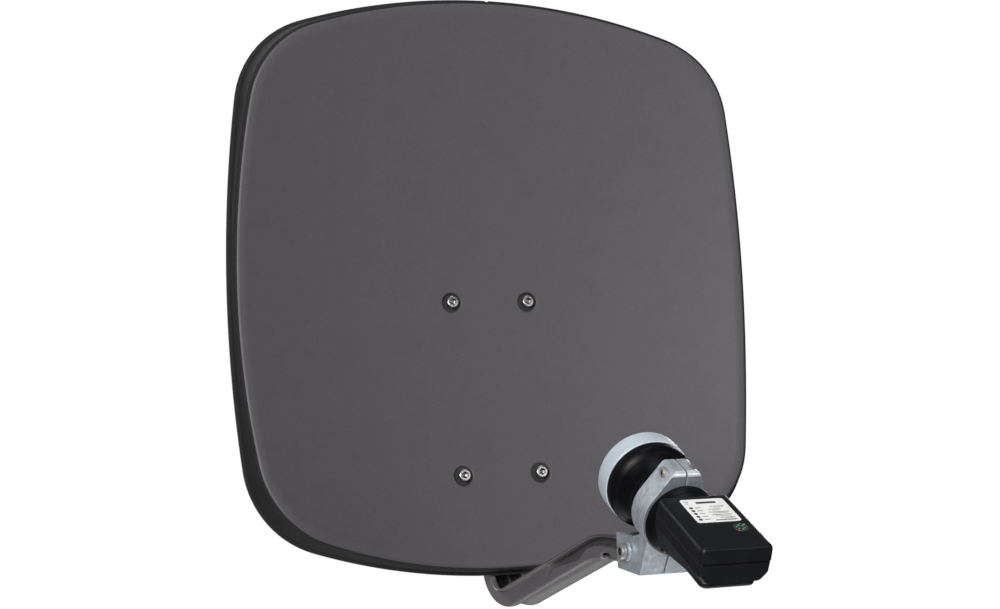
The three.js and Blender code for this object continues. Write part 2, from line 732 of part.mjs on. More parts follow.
// ---- mast bracket and jaw, in the part's frame --------------------------------------------

// half the mast's width seen from the notch's point, and so the point's distance from the axis
const NOTCH_POINT = MAST_RADIUS / Math.sin(NOTCH_HALF_ANGLE);
const NOTCH_END = NOTCH_POINT - NOTCH_MOUTH / Math.tan(NOTCH_HALF_ANGLE);
const clampBoltXs = [-CLAMP_BOLT_X, CLAMP_BOLT_X];

// a lip with a V notch for the mast, on the side of the axis given by `side`
function notchedLip(side, halfWidth, webY) {
  const points = [
    [-halfWidth, webY],
    [-halfWidth, side * NOTCH_END],
    [-NOTCH_MOUTH, side * NOTCH_END],
    [0, side * NOTCH_POINT],
    [NOTCH_MOUTH, side * NOTCH_END],
    [halfWidth, side * NOTCH_END],
    [halfWidth, webY],
  ];
  return shapeOf(side < 0 ? points.reverse() : points);
}

function bracketSide() {
  const { y, z } = PIVOT;
  return shapeOf([
    [BRACKET_WEB_Y + PLATE, -BRACKET_HALF_HEIGHT],
    [y + 8, z - 14],
    [y - 6, z - 14],
    [y - 14, z - 6],
    [y - 14, z + 6],
    [y - 11, z + LOCK_RADIUS - 4],
    [y - 4, z + LOCK_RADIUS + 9],
    [y + 10, z + LOCK_RADIUS + 11],
    [BRACKET_WEB_Y + PLATE, BRACKET_HALF_HEIGHT],
  ].reverse());
}

function mastBracket() {
  const half = BRACKET_HALF_WIDTH;
  const height = BRACKET_HALF_HEIGHT;
  const solid = block(-half, half, -100, BRACKET_WEB_Y + PLATE, -height, height);
  const hollow = block(-half + PLATE, half - PLATE, -110, BRACKET_WEB_Y, -height - 1, height + 1);
  const channel = keep(cut(solid, hollow), sidePlate(bracketSide(), -60, 60));
  const lipShape = notchedLip(-1, half, BRACKET_WEB_Y + 0.5);
  const lips = [flatPlate(lipShape, -height, -height + PLATE), flatPlate(lipShape, height - PLATE, height)];
  const boltHoles = clampBoltXs.map((x) => at(hole('y', -40, -20, M8.shank + CLEAR), x, 0, 0));
  const pivotHole = at(hole('x', -60, 60, M8.shank + CLEAR), 0, PIVOT.y, PIVOT.z);
  const lockHole = at(hole('x', -60, 60, M8.shank + CLEAR), 0, PIVOT.y, PIVOT.z + LOCK_RADIUS);
  return cut(join(channel, ...lips), ...boltHoles, pivotHole, lockHole);
}

function mastJaw() {
  const web = block(
    -JAW_HALF_WIDTH, JAW_HALF_WIDTH, -BRACKET_WEB_Y, -BRACKET_WEB_Y + PLATE,
    -JAW_HALF_HEIGHT, JAW_HALF_HEIGHT,
  );
  const lipShape = notchedLip(1, JAW_HALF_WIDTH, -BRACKET_WEB_Y + 0.5);
  const lips = [
    flatPlate(lipShape, -JAW_HALF_HEIGHT, -JAW_HALF_HEIGHT + PLATE),
    flatPlate(lipShape, JAW_HALF_HEIGHT - PLATE, JAW_HALF_HEIGHT),
  ];
  const boltHoles = clampBoltXs.map((x) => at(hole('y', 0, 50, M8.shank + CLEAR), x, 0, 0));
  return cut(join(web, ...lips), ...boltHoles);
}

// ---- assembly -------------------------------------------------------------------------------

const finish = {
  anthracite: { color: 0x4b4a4c, roughness: 0.55, metalness: 0.2 },
  zinc: { color: 0xb4b9bc, roughness: 0.5, metalness: 0.85 },
  steel: { color: 0xc4c6c8, roughness: 0.3, metalness: 1 },
  cap: { color: 0xcfdbe2, roughness: 0.45, metalness: 0 },
  black: { color: 0x1b1c1f, roughness: 0.45, metalness: 0 },
  rubber: { color: 0x121212, roughness: 0.9, metalness: 0 },
  board: { color: 0x1f5a36, roughness: 0.6, metalness: 0 },
  paper: { color: 0xf1f1ee, roughness: 0.6, metalness: 0 },
  lamp: { color: 0x2f7d4a, roughness: 0.2, metalness: 0 },
};

function piece(parent, name, geometry, look) {
  const mesh = new THREE.Mesh(geometry, new THREE.MeshStandardMaterial(finish[look]));
  mesh.name = name;
  parent.add(mesh);
  return mesh;
}

function place(mesh, x, y, z) {
  mesh.position.set(x, y, z);
  return mesh;
}

// turns a fastener so that it points along +X from its head, or along -X
const pointRight = (geometry) => geometry.clone().rotateZ(-Math.PI / 2);
const pointLeft = (geometry) => geometry.clone().rotateZ(Math.PI / 2);

function addReflector(dish) {
  const mesh = piece(dish, 'reflector', reflector(), 'anthracite');
  mesh.position.set(0, FRAME.y, FRAME.z);
  mesh.rotation.x = -FRAME.lean;
}

function addRearFrame(frame) {
  piece(frame, 'rear_frame', rearFrame(), 'anthracite');
  const behindWeb = FRAME_FRONT + PLATE + GAP;
  for (const { name, x, z } of screwPlaces) {
    const screw = piece(frame, `reflector_screw_${name}`, socketScrew(M6, LENGTH.reflector), 'steel');
    place(screw, x, SEAT_DEPTH - GAP, z);
    place(piece(frame, `reflector_nut_${name}`, nut(M6), 'steel'), x, behindWeb, z);
  }
  ['upper', 'lower'].forEach((name, i) => {
    const screw = roundHeadScrew(M6, LENGTH.arm);
    place(piece(frame, `arm_bolt_${name}`, screw, 'steel'), 0, FRAME_FRONT - GAP, ARM_BOLT_Z[i]);
    place(piece(frame, `arm_nut_${name}`, nut(M6), 'steel'), 0, ARM_BACK + GAP, ARM_BOLT_Z[i]);
  });
}

function addClamp(feed) {
  const { left, right } = clampHalves();
  piece(feed, 'clamp_left', left, 'zinc');
  piece(feed, 'clamp_right', right, 'zinc');
  const lugScrew = pointRight(socketScrew(M5, LENGTH.lug));
  place(piece(feed, 'clamp_top_screw', lugScrew, 'steel'), -LUG.halfWidth - GAP, LUG_SCREW.y, LUG_SCREW.z);
  const lugNut = pointRight(nut(M5));
  place(piece(feed, 'clamp_top_nut', lugNut, 'steel'), NUT_POCKET_X + GAP, LUG_SCREW.y, LUG_SCREW.z);
  const bolt = dishToFeed(FOOT_BOLT.y, FOOT_BOLT.z);
  const washerX = -FOOT_HALF_WIDTH - GAP - FOOT_WASHER.thickness;
  const thickWasher = pointRight(washer(M6, FOOT_WASHER.thickness, FOOT_WASHER.radius));
  const boltGeometry = pointRight(socketScrew(M6, LENGTH.foot));
  place(piece(feed, 'clamp_foot_bolt', boltGeometry, 'steel'), washerX - GAP, bolt.y, bolt.z);
  place(piece(feed, 'clamp_foot_washer', thickWasher, 'steel'), washerX, bolt.y, bolt.z);
  const nutX = FOOT_HALF_WIDTH + GAP;
  place(piece(feed, 'clamp_foot_nut', pointRight(nut(M6)), 'steel'), nutX, bolt.y, bolt.z);
}

function addLnb(feed) {
  piece(feed, 'feed_cap', feedCap(), 'cap');
  piece(feed, 'cap_seal', capSeal(), 'rubber');
  piece(feed, 'feed_horn', feedHorn(), 'black');
  piece(feed, 'feed_neck', feedNeck(), 'black');
  piece(feed, 'upper_shell', upperShell(), 'black');
  piece(feed, 'lower_shell', lowerShell(), 'black');
  piece(feed, 'circuit_board', circuitBoard(), 'board');
  piece(feed, 'weather_hood', weatherHood(), 'black');
  piece(feed, 'rating_label', ratingLabel(), 'paper');
  piece(feed, 'lamp_window', lampWindow(), 'lamp');
  ['left', 'right'].forEach((name, i) => {
    const side = i === 0 ? -1 : 1;
    place(piece(feed, `cable_socket_${name}`, cableSocket(), 'steel'), side * SOCKET.x, 0, SOCKET.z);
    const screw = piece(feed, `shell_screw_${name}`, shellScrew(), 'steel');
    place(screw, side * SHELL_SCREW.x, SHELL_SCREW.seat, SHELL_SCREW.z);
  });
}

function addMastClamp(mast) {
  piece(mast, 'mast_bracket', mastBracket(), 'anthracite');
  piece(mast, 'mast_jaw', mastJaw(), 'zinc');
  const behindJaw = -BRACKET_WEB_Y + PLATE + GAP;
  ['left', 'right'].forEach((name, i) => {
    const x = clampBoltXs[i];
    place(piece(mast, `clamp_bolt_${name}`, hexScrew(M8, LENGTH.mast), 'steel'), x, BRACKET_WEB_Y - GAP, 0);
    place(piece(mast, `jaw_washer_${name}`, washer(M8, WASHER, WASHER_RADIUS), 'steel'), x, behindJaw, 0);
    place(piece(mast, `jaw_nut_${name}`, nut(M8), 'steel'), x, behindJaw + WASHER + GAP, 0);
  });
}

// the pivot bolt runs right across; a short lock screw stands in each cheek above it
function addPivots(mast) {
  const headX = -FRAME_HALF_WIDTH - GAP;
  const pivotBolt = pointRight(hexScrew(M8, LENGTH.pivot));
  place(piece(mast, 'pivot_bolt', pivotBolt, 'steel'), headX, PIVOT.y, PIVOT.z);
  place(piece(mast, 'pivot_nut', pointRight(nut(M8)), 'steel'), -headX, PIVOT.y, PIVOT.z);
  const lockZ = PIVOT.z + LOCK_RADIUS;
  const washerX = FRAME_HALF_WIDTH + GAP;
  const insideX = BRACKET_HALF_WIDTH - PLATE - GAP;
  for (const [name, side, turn] of [['left', -1, pointRight], ['right', 1, pointLeft]]) {
    const screw = piece(mast, `lock_screw_${name}`, turn(hexScrew(M8, LENGTH.lock)), 'steel');
    place(screw, side * (washerX + WASHER + GAP), PIVOT.y, lockZ);
    place(piece(mast, `lock_washer_${name}`, turn(washer(M8, WASHER, WASHER_RADIUS)), 'steel'),
      side * (washerX + WASHER), PIVOT.y, lockZ);
    place(piece(mast, `lock_nut_${name}`, turn(nut(M8)), 'steel'), side * insideX, PIVOT.y, lockZ);
  }
}

function assemble() {
  const mast = new THREE.Group();
  const dish = new THREE.Group();
  dish.position.set(0, DISH.y, DISH.z);
  dish.rotation.x = -DISH_TILT;
  const frame = new THREE.Group();
  frame.position.set(0, FRAME.y, FRAME.z);
  frame.rotation.x = -FRAME.lean;
  const feed = new THREE.Group();
  feed.position.set(0, FEED_ORIGIN.y, FEED_ORIGIN.z);
  feed.rotation.x = Math.PI / 2 + FEED_SLOPE;
  mast.add(dish);
  dish.add(frame);
  dish.add(feed);

  addReflector(dish);
  addRearFrame(frame);
  piece(dish, 'feed_arm', feedArm(), 'anthracite');
  addClamp(feed);
  addLnb(feed);
  addMastClamp(mast);
  addPivots(mast);
  return mast;
}

const group = assemble();

export default group;
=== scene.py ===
"""The satellite dish's looks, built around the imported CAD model.

Every piece is made in millimetres in one of four frames (mast, dish, rear frame and feed), and
placed in the row's frame in metres by the matrix of that frame.
"""

import json
from math import acos, atan, atan2, copysign, cos, degrees, hypot, pi, radians, sin, sqrt, tan

import bmesh
import bpy
from mathutils import Matrix, Vector
from mathutils.geometry import delaunay_2d_cdt
from mathutils.kdtree import KDTree


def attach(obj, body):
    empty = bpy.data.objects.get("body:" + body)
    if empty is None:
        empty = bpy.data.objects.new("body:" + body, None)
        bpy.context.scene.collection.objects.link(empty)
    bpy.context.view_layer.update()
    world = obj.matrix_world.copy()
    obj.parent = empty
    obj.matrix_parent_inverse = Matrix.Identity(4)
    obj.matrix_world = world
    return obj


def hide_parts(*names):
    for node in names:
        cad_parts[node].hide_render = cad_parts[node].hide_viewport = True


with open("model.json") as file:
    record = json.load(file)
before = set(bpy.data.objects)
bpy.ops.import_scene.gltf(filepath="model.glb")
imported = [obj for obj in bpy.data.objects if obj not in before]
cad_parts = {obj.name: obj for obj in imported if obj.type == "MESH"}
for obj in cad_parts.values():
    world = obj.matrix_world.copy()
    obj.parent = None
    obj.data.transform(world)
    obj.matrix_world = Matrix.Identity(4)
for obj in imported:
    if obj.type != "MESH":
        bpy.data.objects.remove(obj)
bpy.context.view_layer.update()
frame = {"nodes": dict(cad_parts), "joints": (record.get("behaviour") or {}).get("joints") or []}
collection = bpy.context.scene.collection
joints = {joint["name"]: joint for joint in frame["joints"]}

# ---- driving dimensions, in millimetres, as in the CAD model ----

MM = 0.001
GAP = 0.3
DISH_WIDTH, DISH_HEIGHT = 450, 481
FOCAL_LENGTH = 268
LOWEST_OFFSET = 18  # from the parent paraboloid's axis up to the lower rim
SHEET = 1.5
RIM_DEPTH, RIM_FOLLOW, LIP = 15.4, 0.4, 3
CORNER_RADIUS = 79.7  # of the outline, between its long arcs
LIP_ARCS = (1247, 504)  # side, top
FACE_ARCS = (866, 439)
FACE_INSET = (8.5, 8.8)  # from the lip in to the edge of the face: side, top
SCREW_X, SCREW_Z = 33.5, 72.5
SCREW_MIDDLE_Z = -86.85
SEAT_DEPTH = 2
DISH_TILT = radians(7.6)
FEED_SLOPE = radians(26.65)
FEED_IN_DISH = Vector((0, -255.3, -157.4))
PLATE = 2.5
FRAME_FRONT = 10
FRAME_HALF_WIDTH = 53
ARM_BOLT_Z = (-40, -72)
ARM_BACK = 33
ARM_HALF_WIDTH, ARM_SHEET, ARM_LIP = 12.5, 2.2, 3.5
CAP_RADIUS, CAP_SKIRT = 29.5, 16.6
HORN_RADIUS, NECK_RADIUS = 28.9, 20
BAND = (47.5, 66)
BAND_RADIUS = 24.5
LUG_HALF, LUG_TOP = 9.5, 32
LUG_SCREW = (27.5, 56.7)
NUT_POCKET_X = 5
SPLIT = 1.2
LUG_CORNER, LUG_FRONT_RADIUS = 3.2, 3.0
LUG_ROOT, NUT_SIDE_RADIUS = 12.2, 22.8  # the lug and the band on the nut's side
COLLAR_RADIUS, COLLAR_END = 23.8, 20.8
FOOT_HALF_WIDTH = 16.5
FOOT_BOLT = (-270, -207)  # Y and Z in the dish frame
SHELL_START, SHELL_END = 77, 140
SHELL_HALF, SHELL_TOP, SEAM = 23, 22.2, 11.5
SHOULDER = 5.5
CLAMP_BOLTS = ((-37, 0), (37, 0))
BRACKET_WEB_Y = -30
PIVOT = (-72, -22)
LOCK_RADIUS = 44
BRACKET_HALF_WIDTH = FRAME_HALF_WIDTH - PLATE - GAP

# screws: radii of the shank and the head, the head's height, the socket and the nut across flats,
# the nut's height and the thread's pitch
M5 = dict(shank=2.4, head=3.6, height=3, socket=2.8, nut=8, nut_height=4, pitch=0.8)
M6 = dict(shank=2.9, head=5, height=6, socket=5, nut=10, nut_height=5, pitch=1.0)
M8 = dict(shank=3.9, head=7.4, height=5.3, socket=0, nut=13, nut_height=6.5, pitch=1.25)

# ---- the offset reflector's surface ----


def offset_cut():
    """Angle of the plane of the mouth, and the height and depth of the face's middle."""
    angle = 0
    for _ in range(20):
        top = LOWEST_OFFSET + DISH_HEIGHT * cos(angle)
        angle = atan((LOWEST_OFFSET + top) / (4 * FOCAL_LENGTH))
    low, high = LOWEST_OFFSET, LOWEST_OFFSET + DISH_HEIGHT * cos(angle)
    return angle, (low + high) / 2, (low * low + high * high) / (8 * FOCAL_LENGTH)


CUT_ANGLE, MIDDLE_HEIGHT, MIDDLE_DEPTH = offset_cut()


def face_forward(x, z):
    """How far the reflector's face stands in front of the plane of its mouth."""
    lean, upright = sin(CUT_ANGLE), cos(CUT_ANGLE)
    height = MIDDLE_HEIGHT + z * upright
    b = -(2 * lean * height + 4 * FOCAL_LENGTH * upright)
    c = x * x + height * height - 4 * FOCAL_LENGTH * (MIDDLE_DEPTH + z * lean)
    return (-b - sqrt(b * b - 4 * lean * lean * c)) / (2 * lean * lean)


def outline_radius(turn, half_width, half_height, arcs):
    """Distance from the middle to an outline of four long arcs joined by round corners."""
    side = Vector((half_width - arcs[0], 0))
    top = Vector((0, half_height - arcs[1]))
    to_side, to_top = arcs[0] - CORNER_RADIUS, arcs[1] - CORNER_RADIUS
    span = (side - top).length
    along = (to_side**2 - to_top**2 + span**2) / (2 * span)
    line = (top - side).normalized()
    corner = side + line * along + Vector((-line.y, line.x)) * sqrt(to_side**2 - along**2)
    side_end = side + (corner - side).normalized() * arcs[0]
    top_start = top + (corner - top).normalized() * arcs[1]
    ray = Vector((abs(cos(turn)), abs(sin(turn))))
    slope = atan2(ray.y, ray.x)
    centre, radius = corner, CORNER_RADIUS
    if slope < atan2(side_end.y, side_end.x):
        centre, radius = side, arcs[0]
    if slope > atan2(top_start.y, top_start.x):
        centre, radius = top, arcs[1]
    reach = ray.dot(centre)
    return reach + sqrt(radius**2 - centre.length_squared + reach**2)


# ---- frames ----


def placed(origin, turn):
    return Matrix.Translation(origin) @ turn.to_4x4() @ Matrix.Scale(MM, 4)


upper_y, lower_y = (-face_forward(SCREW_X, SCREW_MIDDLE_Z + end * SCREW_Z) for end in (1, -1))
FRAME_Y = (upper_y + lower_y) / 2
FRAME_LEAN = atan2(upper_y - lower_y, 2 * SCREW_Z)

feed_origin = Vector(joints["polarisation"]["pos_m"])
dish_turn = Matrix.Rotation(-DISH_TILT, 3, "X")
frame_turn = Matrix.Rotation(-DISH_TILT - FRAME_LEAN, 3, "X")
feed_turn = Matrix.Rotation(pi / 2 + FEED_SLOPE - DISH_TILT, 3, "X")
dish_origin = feed_origin - dish_turn @ (FEED_IN_DISH * MM)
frame_origin = dish_origin + dish_turn @ (Vector((0, FRAME_Y, SCREW_MIDDLE_Z)) * MM)

MAST = Matrix.Scale(MM, 4)
DISH = placed(dish_origin, dish_turn)
FRAME = placed(frame_origin, frame_turn)
FEED = placed(feed_origin, feed_turn)

frame_to_dish = DISH.inverted() @ FRAME
dish_to_feed = FEED.inverted() @ DISH

# ---- camera, floor and light ----

CAMERA_AZIMUTH, CAMERA_ELEVATION = radians(-18.68), radians(0.59)
CAMERA_DISTANCE, CAMERA_LENS = 1.2354, 54.04
CAMERA_SHIFT = (-0.004, -0.0253)
WORLD_LIGHT = 0.12  # the white world's strength, which the camera itself sees at 1
FLOOR_Z, FLOOR_RADIUS = -2.6, 1.9
LIGHTS = (  # name, place, size, watts, aim
    ("key", (-1.3, -2.3, 0.8), 0.9, 68, (0, -0.15, 0.05)),
    ("fill", (1.0, -2.4, 0.5), 0.9, 7, (0, -0.15, 0.05)),
    ("top", (0.1, -0.7, 2.6), 1.2, 14, (0, -0.2, 0)),
    ("rear_left", (-1.0, 2.5, 1.2), 1.6, 74, (0, 0, 0.05)),
    ("rear_right", (1.5, 2.2, 0.2), 1.4, 44, (0, 0, 0.05)),
    ("below", (0.2, 0.5, -2.2), 1.2, 9, (0, 0, 0)),
)


def added(name, data):
    """A new object in the scene."""
    made = bpy.data.objects.new(name, data)
    collection.objects.link(made)
    return made


def add_camera():
    data = bpy.data.cameras.new("camera")
    data.lens = CAMERA_LENS
    data.shift_x, data.shift_y = CAMERA_SHIFT
    camera = added("camera", data)
    back = Vector((
        sin(CAMERA_AZIMUTH) * cos(CAMERA_ELEVATION),
        -cos(CAMERA_AZIMUTH) * cos(CAMERA_ELEVATION),
        sin(CAMERA_ELEVATION),
    ))
    camera.location = dish_origin + back * CAMERA_DISTANCE
    camera.rotation_euler = (-back).to_track_quat("-Z", "Y").to_euler()
    bpy.context.scene.camera = camera


def add_area(name, place, size, watts, aim):
    data = bpy.data.lights.new(name, "AREA")
    data.size, data.energy = size, watts
    light = added(name, data)
    light.location = place
    light.visible_camera = False
    light.rotation_euler = (Vector(aim) - Vector(place)).to_track_quat("-Z", "Y").to_euler()


def add_world():
    world = bpy.data.worlds.new("studio")
    bpy.context.scene.world = world
    world.use_nodes = True
    nodes, links = world.node_tree.nodes, world.node_tree.links
    seen = nodes.new("ShaderNodeLightPath").outputs["Is Camera Ray"]
    strength = nodes.new("ShaderNodeMapRange")
    strength.inputs["To Min"].default_value = WORLD_LIGHT
    links.new(seen, strength.inputs["Value"])
    links.new(strength.outputs["Result"], nodes["Background"].inputs["Strength"])
    nodes["Background"].inputs["Color"].default_value = (1, 1, 1, 1)


def add_studio():
    bpy.context.scene.view_settings.view_transform = "Standard"
    add_world()
    for light in LIGHTS:
        add_area(*light)
    bm = bmesh.new()
    bmesh.ops.create_circle(bm, cap_ends=True, segments=96, radius=FLOOR_RADIUS)
    floor = added("floor", as_mesh("floor", bm))
    floor.location.z = FLOOR_Z
    floor.data.materials.append(plain_floor())


# ---- materials ----


class Shader:
    """A Principled material with its node tree at hand."""

    def __init__(self, name):
        self.material = bpy.data.materials.new(name)
        self.material.use_nodes = True
        self.tree = self.material.node_tree
        self.main = self.tree.nodes["Principled BSDF"]
        self.place = self.node("TexCoord").outputs["Object"]

    def node(self, kind, settings=(), **inputs):
        made = self.tree.nodes.new("ShaderNode" + kind)
        for name, value in dict(settings).items():
            setattr(made, name, value)
        self.feed(made, **inputs)
        return made

    def feed(self, node, **inputs):
        """Sets inputs to values, or links them to the outputs of other nodes."""
        for name, value in inputs.items():
            socket = node.inputs[name.replace("_", " ")]
            if isinstance(value, bpy.types.NodeSocket):
                self.tree.links.new(value, socket)
            elif socket.type == "RGBA":
                socket.default_value = (*value, 1)
            else:
                socket.default_value = value

    def set(self, **inputs):
        self.feed(self.main, **inputs)

    def noise(self, size, detail=3, stretch=(1, 1, 1), rough=0.5):
        """Noise whose features are about `size` metres across."""
        mapping = self.node("Mapping", Vector=self.place, Scale=stretch)
        vector = mapping.outputs["Vector"]
        made = self.node("TexNoise", Vector=vector, Scale=1 / size, Detail=detail, Roughness=rough)
        return made.outputs["Fac"]

    def spread(self, value, low, high, start=0.3, end=0.7):
        made = self.node("MapRange", Value=value, From_Min=start, From_Max=end, To_Min=low, To_Max=high)
        return made.outputs["Result"]

    def mix(self, factor, first, second):
        made = self.node("Mix", {"data_type": "RGBA"}, Factor=factor, A=first, B=second)
        return made.outputs["Result"]

    def clouds(self, size, first, second):
        """Two colours in soft clouds of about `size` metres."""
        return self.mix(self.spread(self.noise(size), 0, 1), first, second)

    def along(self, place):
        """Distance in metres along the Z axis of one of the frames."""
        axis = place.to_3x3().col[2].normalized()
        dot = self.node("VectorMath", {"operation": "DOT_PRODUCT"}, Vector=self.place)
        dot.inputs[1].default_value = axis
        away = self.node("Math", {"operation": "SUBTRACT"}, Value=dot.outputs["Value"])
        away.inputs[1].default_value = axis.dot(place.translation)
        return away.outputs["Value"]

    def bump(self, *layers):
        """Height layers of (value, distance in metres), added up."""
        normal = {}
        for height, distance in layers:
            made = self.node("Bump", Height=height, Distance=distance, Strength=1, **normal)
            normal = {"Normal": made.outputs["Normal"]}
        self.set(**normal)


def plain_floor():
    s = Shader("floor")
    s.set(Base_Color=s.clouds(0.8, (0.93, 0.93, 0.93), (0.96, 0.96, 0.96)), Roughness=0.8)
    s.set(Emission_Color=(0.9, 0.9, 0.9), Emission_Strength=0.62)
    return s.material


def shade(colour, by):
    return tuple(min(1, part * by) for part in colour)


def powder_coat(name, dark, light, gloss=0.5, shine=0.5, shade_layer=None):
    """Baked powder paint: a fine orange peel with a faint fleck and slow, soft shading.

    The last argument names a mesh attribute by which the colour is darkened: painted shade in recesses.
    """
    s = Shader(name)
    body = s.mix(s.spread(s.noise(0.12, 1), 0.3, 0.7), dark, light)
    fleck = s.spread(s.noise(0.0008, 2), 0, 1, 0.4, 0.62)
    dust = s.spread(s.noise(0.02, 5, rough=0.7), 0, 0.35, 0.5, 0.8)
    colour = s.mix(dust, s.mix(fleck, body, shade(light, 1.16)), shade(dark, 0.8))
    # painted shade: the colour darkens where the mesh's attribute is high
    if shade_layer:
        deep = s.node("Attribute", {"attribute_name": shade_layer}).outputs["Fac"]
        colour = s.mix(deep, colour, shade(dark, 0.32))
    s.set(Base_Color=colour, Metallic=0.1 if shine > 0.2 else 0, Specular_IOR_Level=shine)
    s.set(Roughness=s.spread(s.noise(0.03, 3), gloss - 0.02, gloss + 0.03))
    s.bump((s.noise(0.0012, 2), 0.00003), (s.noise(0.0005, 1), 0.00002))
    return s.material


def zinc(name, dark, light, rough=0.42, face=None):
    """Die-cast zinc with a thin passivated skin: cloudy, with a fine cast grain.

    `face` is the place along the feed's axis, in metres, past which the colour is darkened: painted shade
    on the clamp's front.
    """
    s = Shader(name)
    cloud = s.spread(s.noise(0.0045, 6, rough=0.66), 0, 1, 0.34, 0.66)
    streak = s.spread(s.noise(0.0025, 4, (1, 1, 0.4)), 0, 0.7, 0.5, 0.75)
    colour = s.mix(streak, s.mix(cloud, dark, light), shade(dark, 0.72))
    if face is not None:
        # painted shade: darker past `face` along the feed's axis
        front_shade = s.spread(s.along(FEED), 0, 0.62, face - 0.0004, face - 0.0001)
        colour = s.mix(front_shade, colour, shade(dark, 0.3))
    s.set(Base_Color=colour, Metallic=0.55)
    s.set(Roughness=s.spread(s.noise(0.003, 4), rough - 0.08, rough + 0.14))
    s.bump((s.noise(0.0035, 3), 0.00025), (s.noise(0.0005, 2), 0.00004))
    return s.material


def plated_steel(name, tint=(0.66, 0.67, 0.66)):
    """Turned and plated steel: tiny scratches and stains."""
    s = Shader(name)
    scratch = s.noise(0.0006, 2, (1, 1, 6))
    stain = s.spread(s.noise(0.002, 4), 0, 1, 0.5, 0.72)
    s.set(Base_Color=s.mix(stain, tint, (0.34, 0.33, 0.31)), Metallic=1.0)
    s.set(Roughness=s.spread(scratch, 0.2, 0.42))
    s.bump((scratch, 0.00002), (s.noise(0.0012, 2), 0.00003))
    return s.material


def moulded(name, dark, light, rough=0.4, shine=0.3):
    """Moulded plastic with a spark-eroded grain and a painted highlight on its edges."""
    s = Shader(name)
    pointiness = s.node("NewGeometry").outputs["Pointiness"]
    # painted highlight: lighter colour on sharp outer edges
    edge_highlight = tuple(min(1, part * 1.25 + 0.01) for part in light)
    colour = s.mix(s.spread(pointiness, 0, 1, 0.53, 0.62), s.clouds(0.012, dark, light), edge_highlight)
    s.set(Base_Color=colour, Specular_IOR_Level=shine)
    s.set(Roughness=s.spread(s.noise(0.004, 4), rough - 0.05, rough + 0.07))
    s.bump((s.noise(0.00035, 2), 0.00003), (s.noise(0.008, 1), 0.00005))
    return s.material


def soft_cap(name):
    """Pale weatherproof cap plastic, a little milky, with faint dusty clouds."""
    s = Shader(name)
    cloud = s.spread(s.noise(0.009, 4), 0, 1)
    dust = s.spread(s.noise(0.0014, 3), 0, 1, 0.56, 0.75)
    body = s.mix(cloud, (0.47, 0.54, 0.60), (0.53, 0.60, 0.655))
    s.set(Base_Color=s.mix(dust, body, (0.43, 0.49, 0.53)), Roughness=s.spread(cloud, 0.38, 0.5, 0, 1))
    s.set(Subsurface_Weight=0.12, Subsurface_Scale=0.002)
    s.bump((s.noise(0.0005, 2), 0.00002), (s.noise(0.01, 1), 0.00006))
    return s.material


def rubber(name):
    s = Shader(name)
    s.set(Base_Color=s.clouds(0.002, (0.01, 0.01, 0.01), (0.025, 0.024, 0.023)))
    s.set(Roughness=s.spread(s.noise(0.001), 0.75, 0.95))
    s.bump((s.noise(0.0004), 0.00003))
    return s.material


def solder_mask(name):
    """Solder mask over copper tracks."""
    s = Shader(name)
    wave = s.node("TexWave", Vector=s.place, Scale=180, Distortion=6)
    track = s.spread(wave.outputs["Fac"], 0, 1, 0.45, 0.55)
    s.set(Base_Color=s.mix(track, (0.012, 0.09, 0.04), (0.03, 0.2, 0.09)), Roughness=0.35)
    s.bump((track, 0.00003))
    return s.material


def printed_film(name):
    s = Shader(name)
    s.set(Base_Color=s.clouds(0.006, (0.80, 0.80, 0.79), (0.88, 0.88, 0.87)))
    s.set(Roughness=s.spread(s.noise(0.003), 0.4, 0.55))
    s.bump((s.noise(0.0008), 0.000015))
    return s.material


def ink(name):
    s = Shader(name)
    s.set(Base_Color=s.clouds(0.0006, (0.012, 0.012, 0.014), (0.05, 0.05, 0.055)))
    s.set(Roughness=s.spread(s.noise(0.001), 0.4, 0.6))
    return s.material


def lens(name, dark, light):
    """Coloured lamp lens with a clear coat and a faint inner texture."""
    s = Shader(name)
    s.set(Base_Color=s.clouds(0.0008, dark, light), Roughness=0.18, Coat_Weight=0.6)
    s.bump((s.noise(0.0004), 0.00001))
    return s.material


paint = powder_coat("reflector_coating", (0.062, 0.0584, 0.0628), (0.068, 0.0643, 0.0688), 0.56)
frame_paint = powder_coat("frame_coating", (0.075, 0.071, 0.075), (0.092, 0.087, 0.092), 0.5)
# the arm's coat is lighter than the reflector's: painted light on the arm; it also takes painted shade in
# its channel and pressed step
arm_light_and_shade_paint = powder_coat("arm_coating", (0.108, 0.1015, 0.107), (0.130, 0.1225, 0.1285), 0.42, 0.5, "painted_hollow_shade")
# a near-black coat on the rim's outer wall: painted shade
rim_shade_paint = powder_coat("rim_painted_shade", (0.019, 0.0182, 0.0190), (0.024, 0.0230, 0.0238), 0.8, 0.08)
# a darker coat in the screw seats: painted shade
seat_shade_paint = powder_coat("seat_painted_shade", (0.024, 0.0230, 0.0240), (0.032, 0.0307, 0.0318), 0.7, 0.2)
# the clamp's zinc is darkened on its front: painted shade
cast_zinc = zinc("zinc_casting", (0.40, 0.455, 0.50), (0.60, 0.65, 0.69), face=BAND[1] * MM)
# lighter zinc for the clamp's roundings: painted highlight
highlight_zinc = zinc("zinc_painted_highlight", (0.66, 0.70, 0.73), (0.84, 0.87, 0.89), 0.34)
sheet_zinc = zinc("zinc_plated", (0.27, 0.29, 0.29), (0.40, 0.42, 0.42), 0.38)
steel = plated_steel("screw_steel", (0.50, 0.50, 0.49))
dull_steel = zinc("dull_steel", (0.30, 0.30, 0.29), (0.44, 0.44, 0.43), 0.40)
black_steel = plated_steel("black_steel", (0.035, 0.035, 0.038))
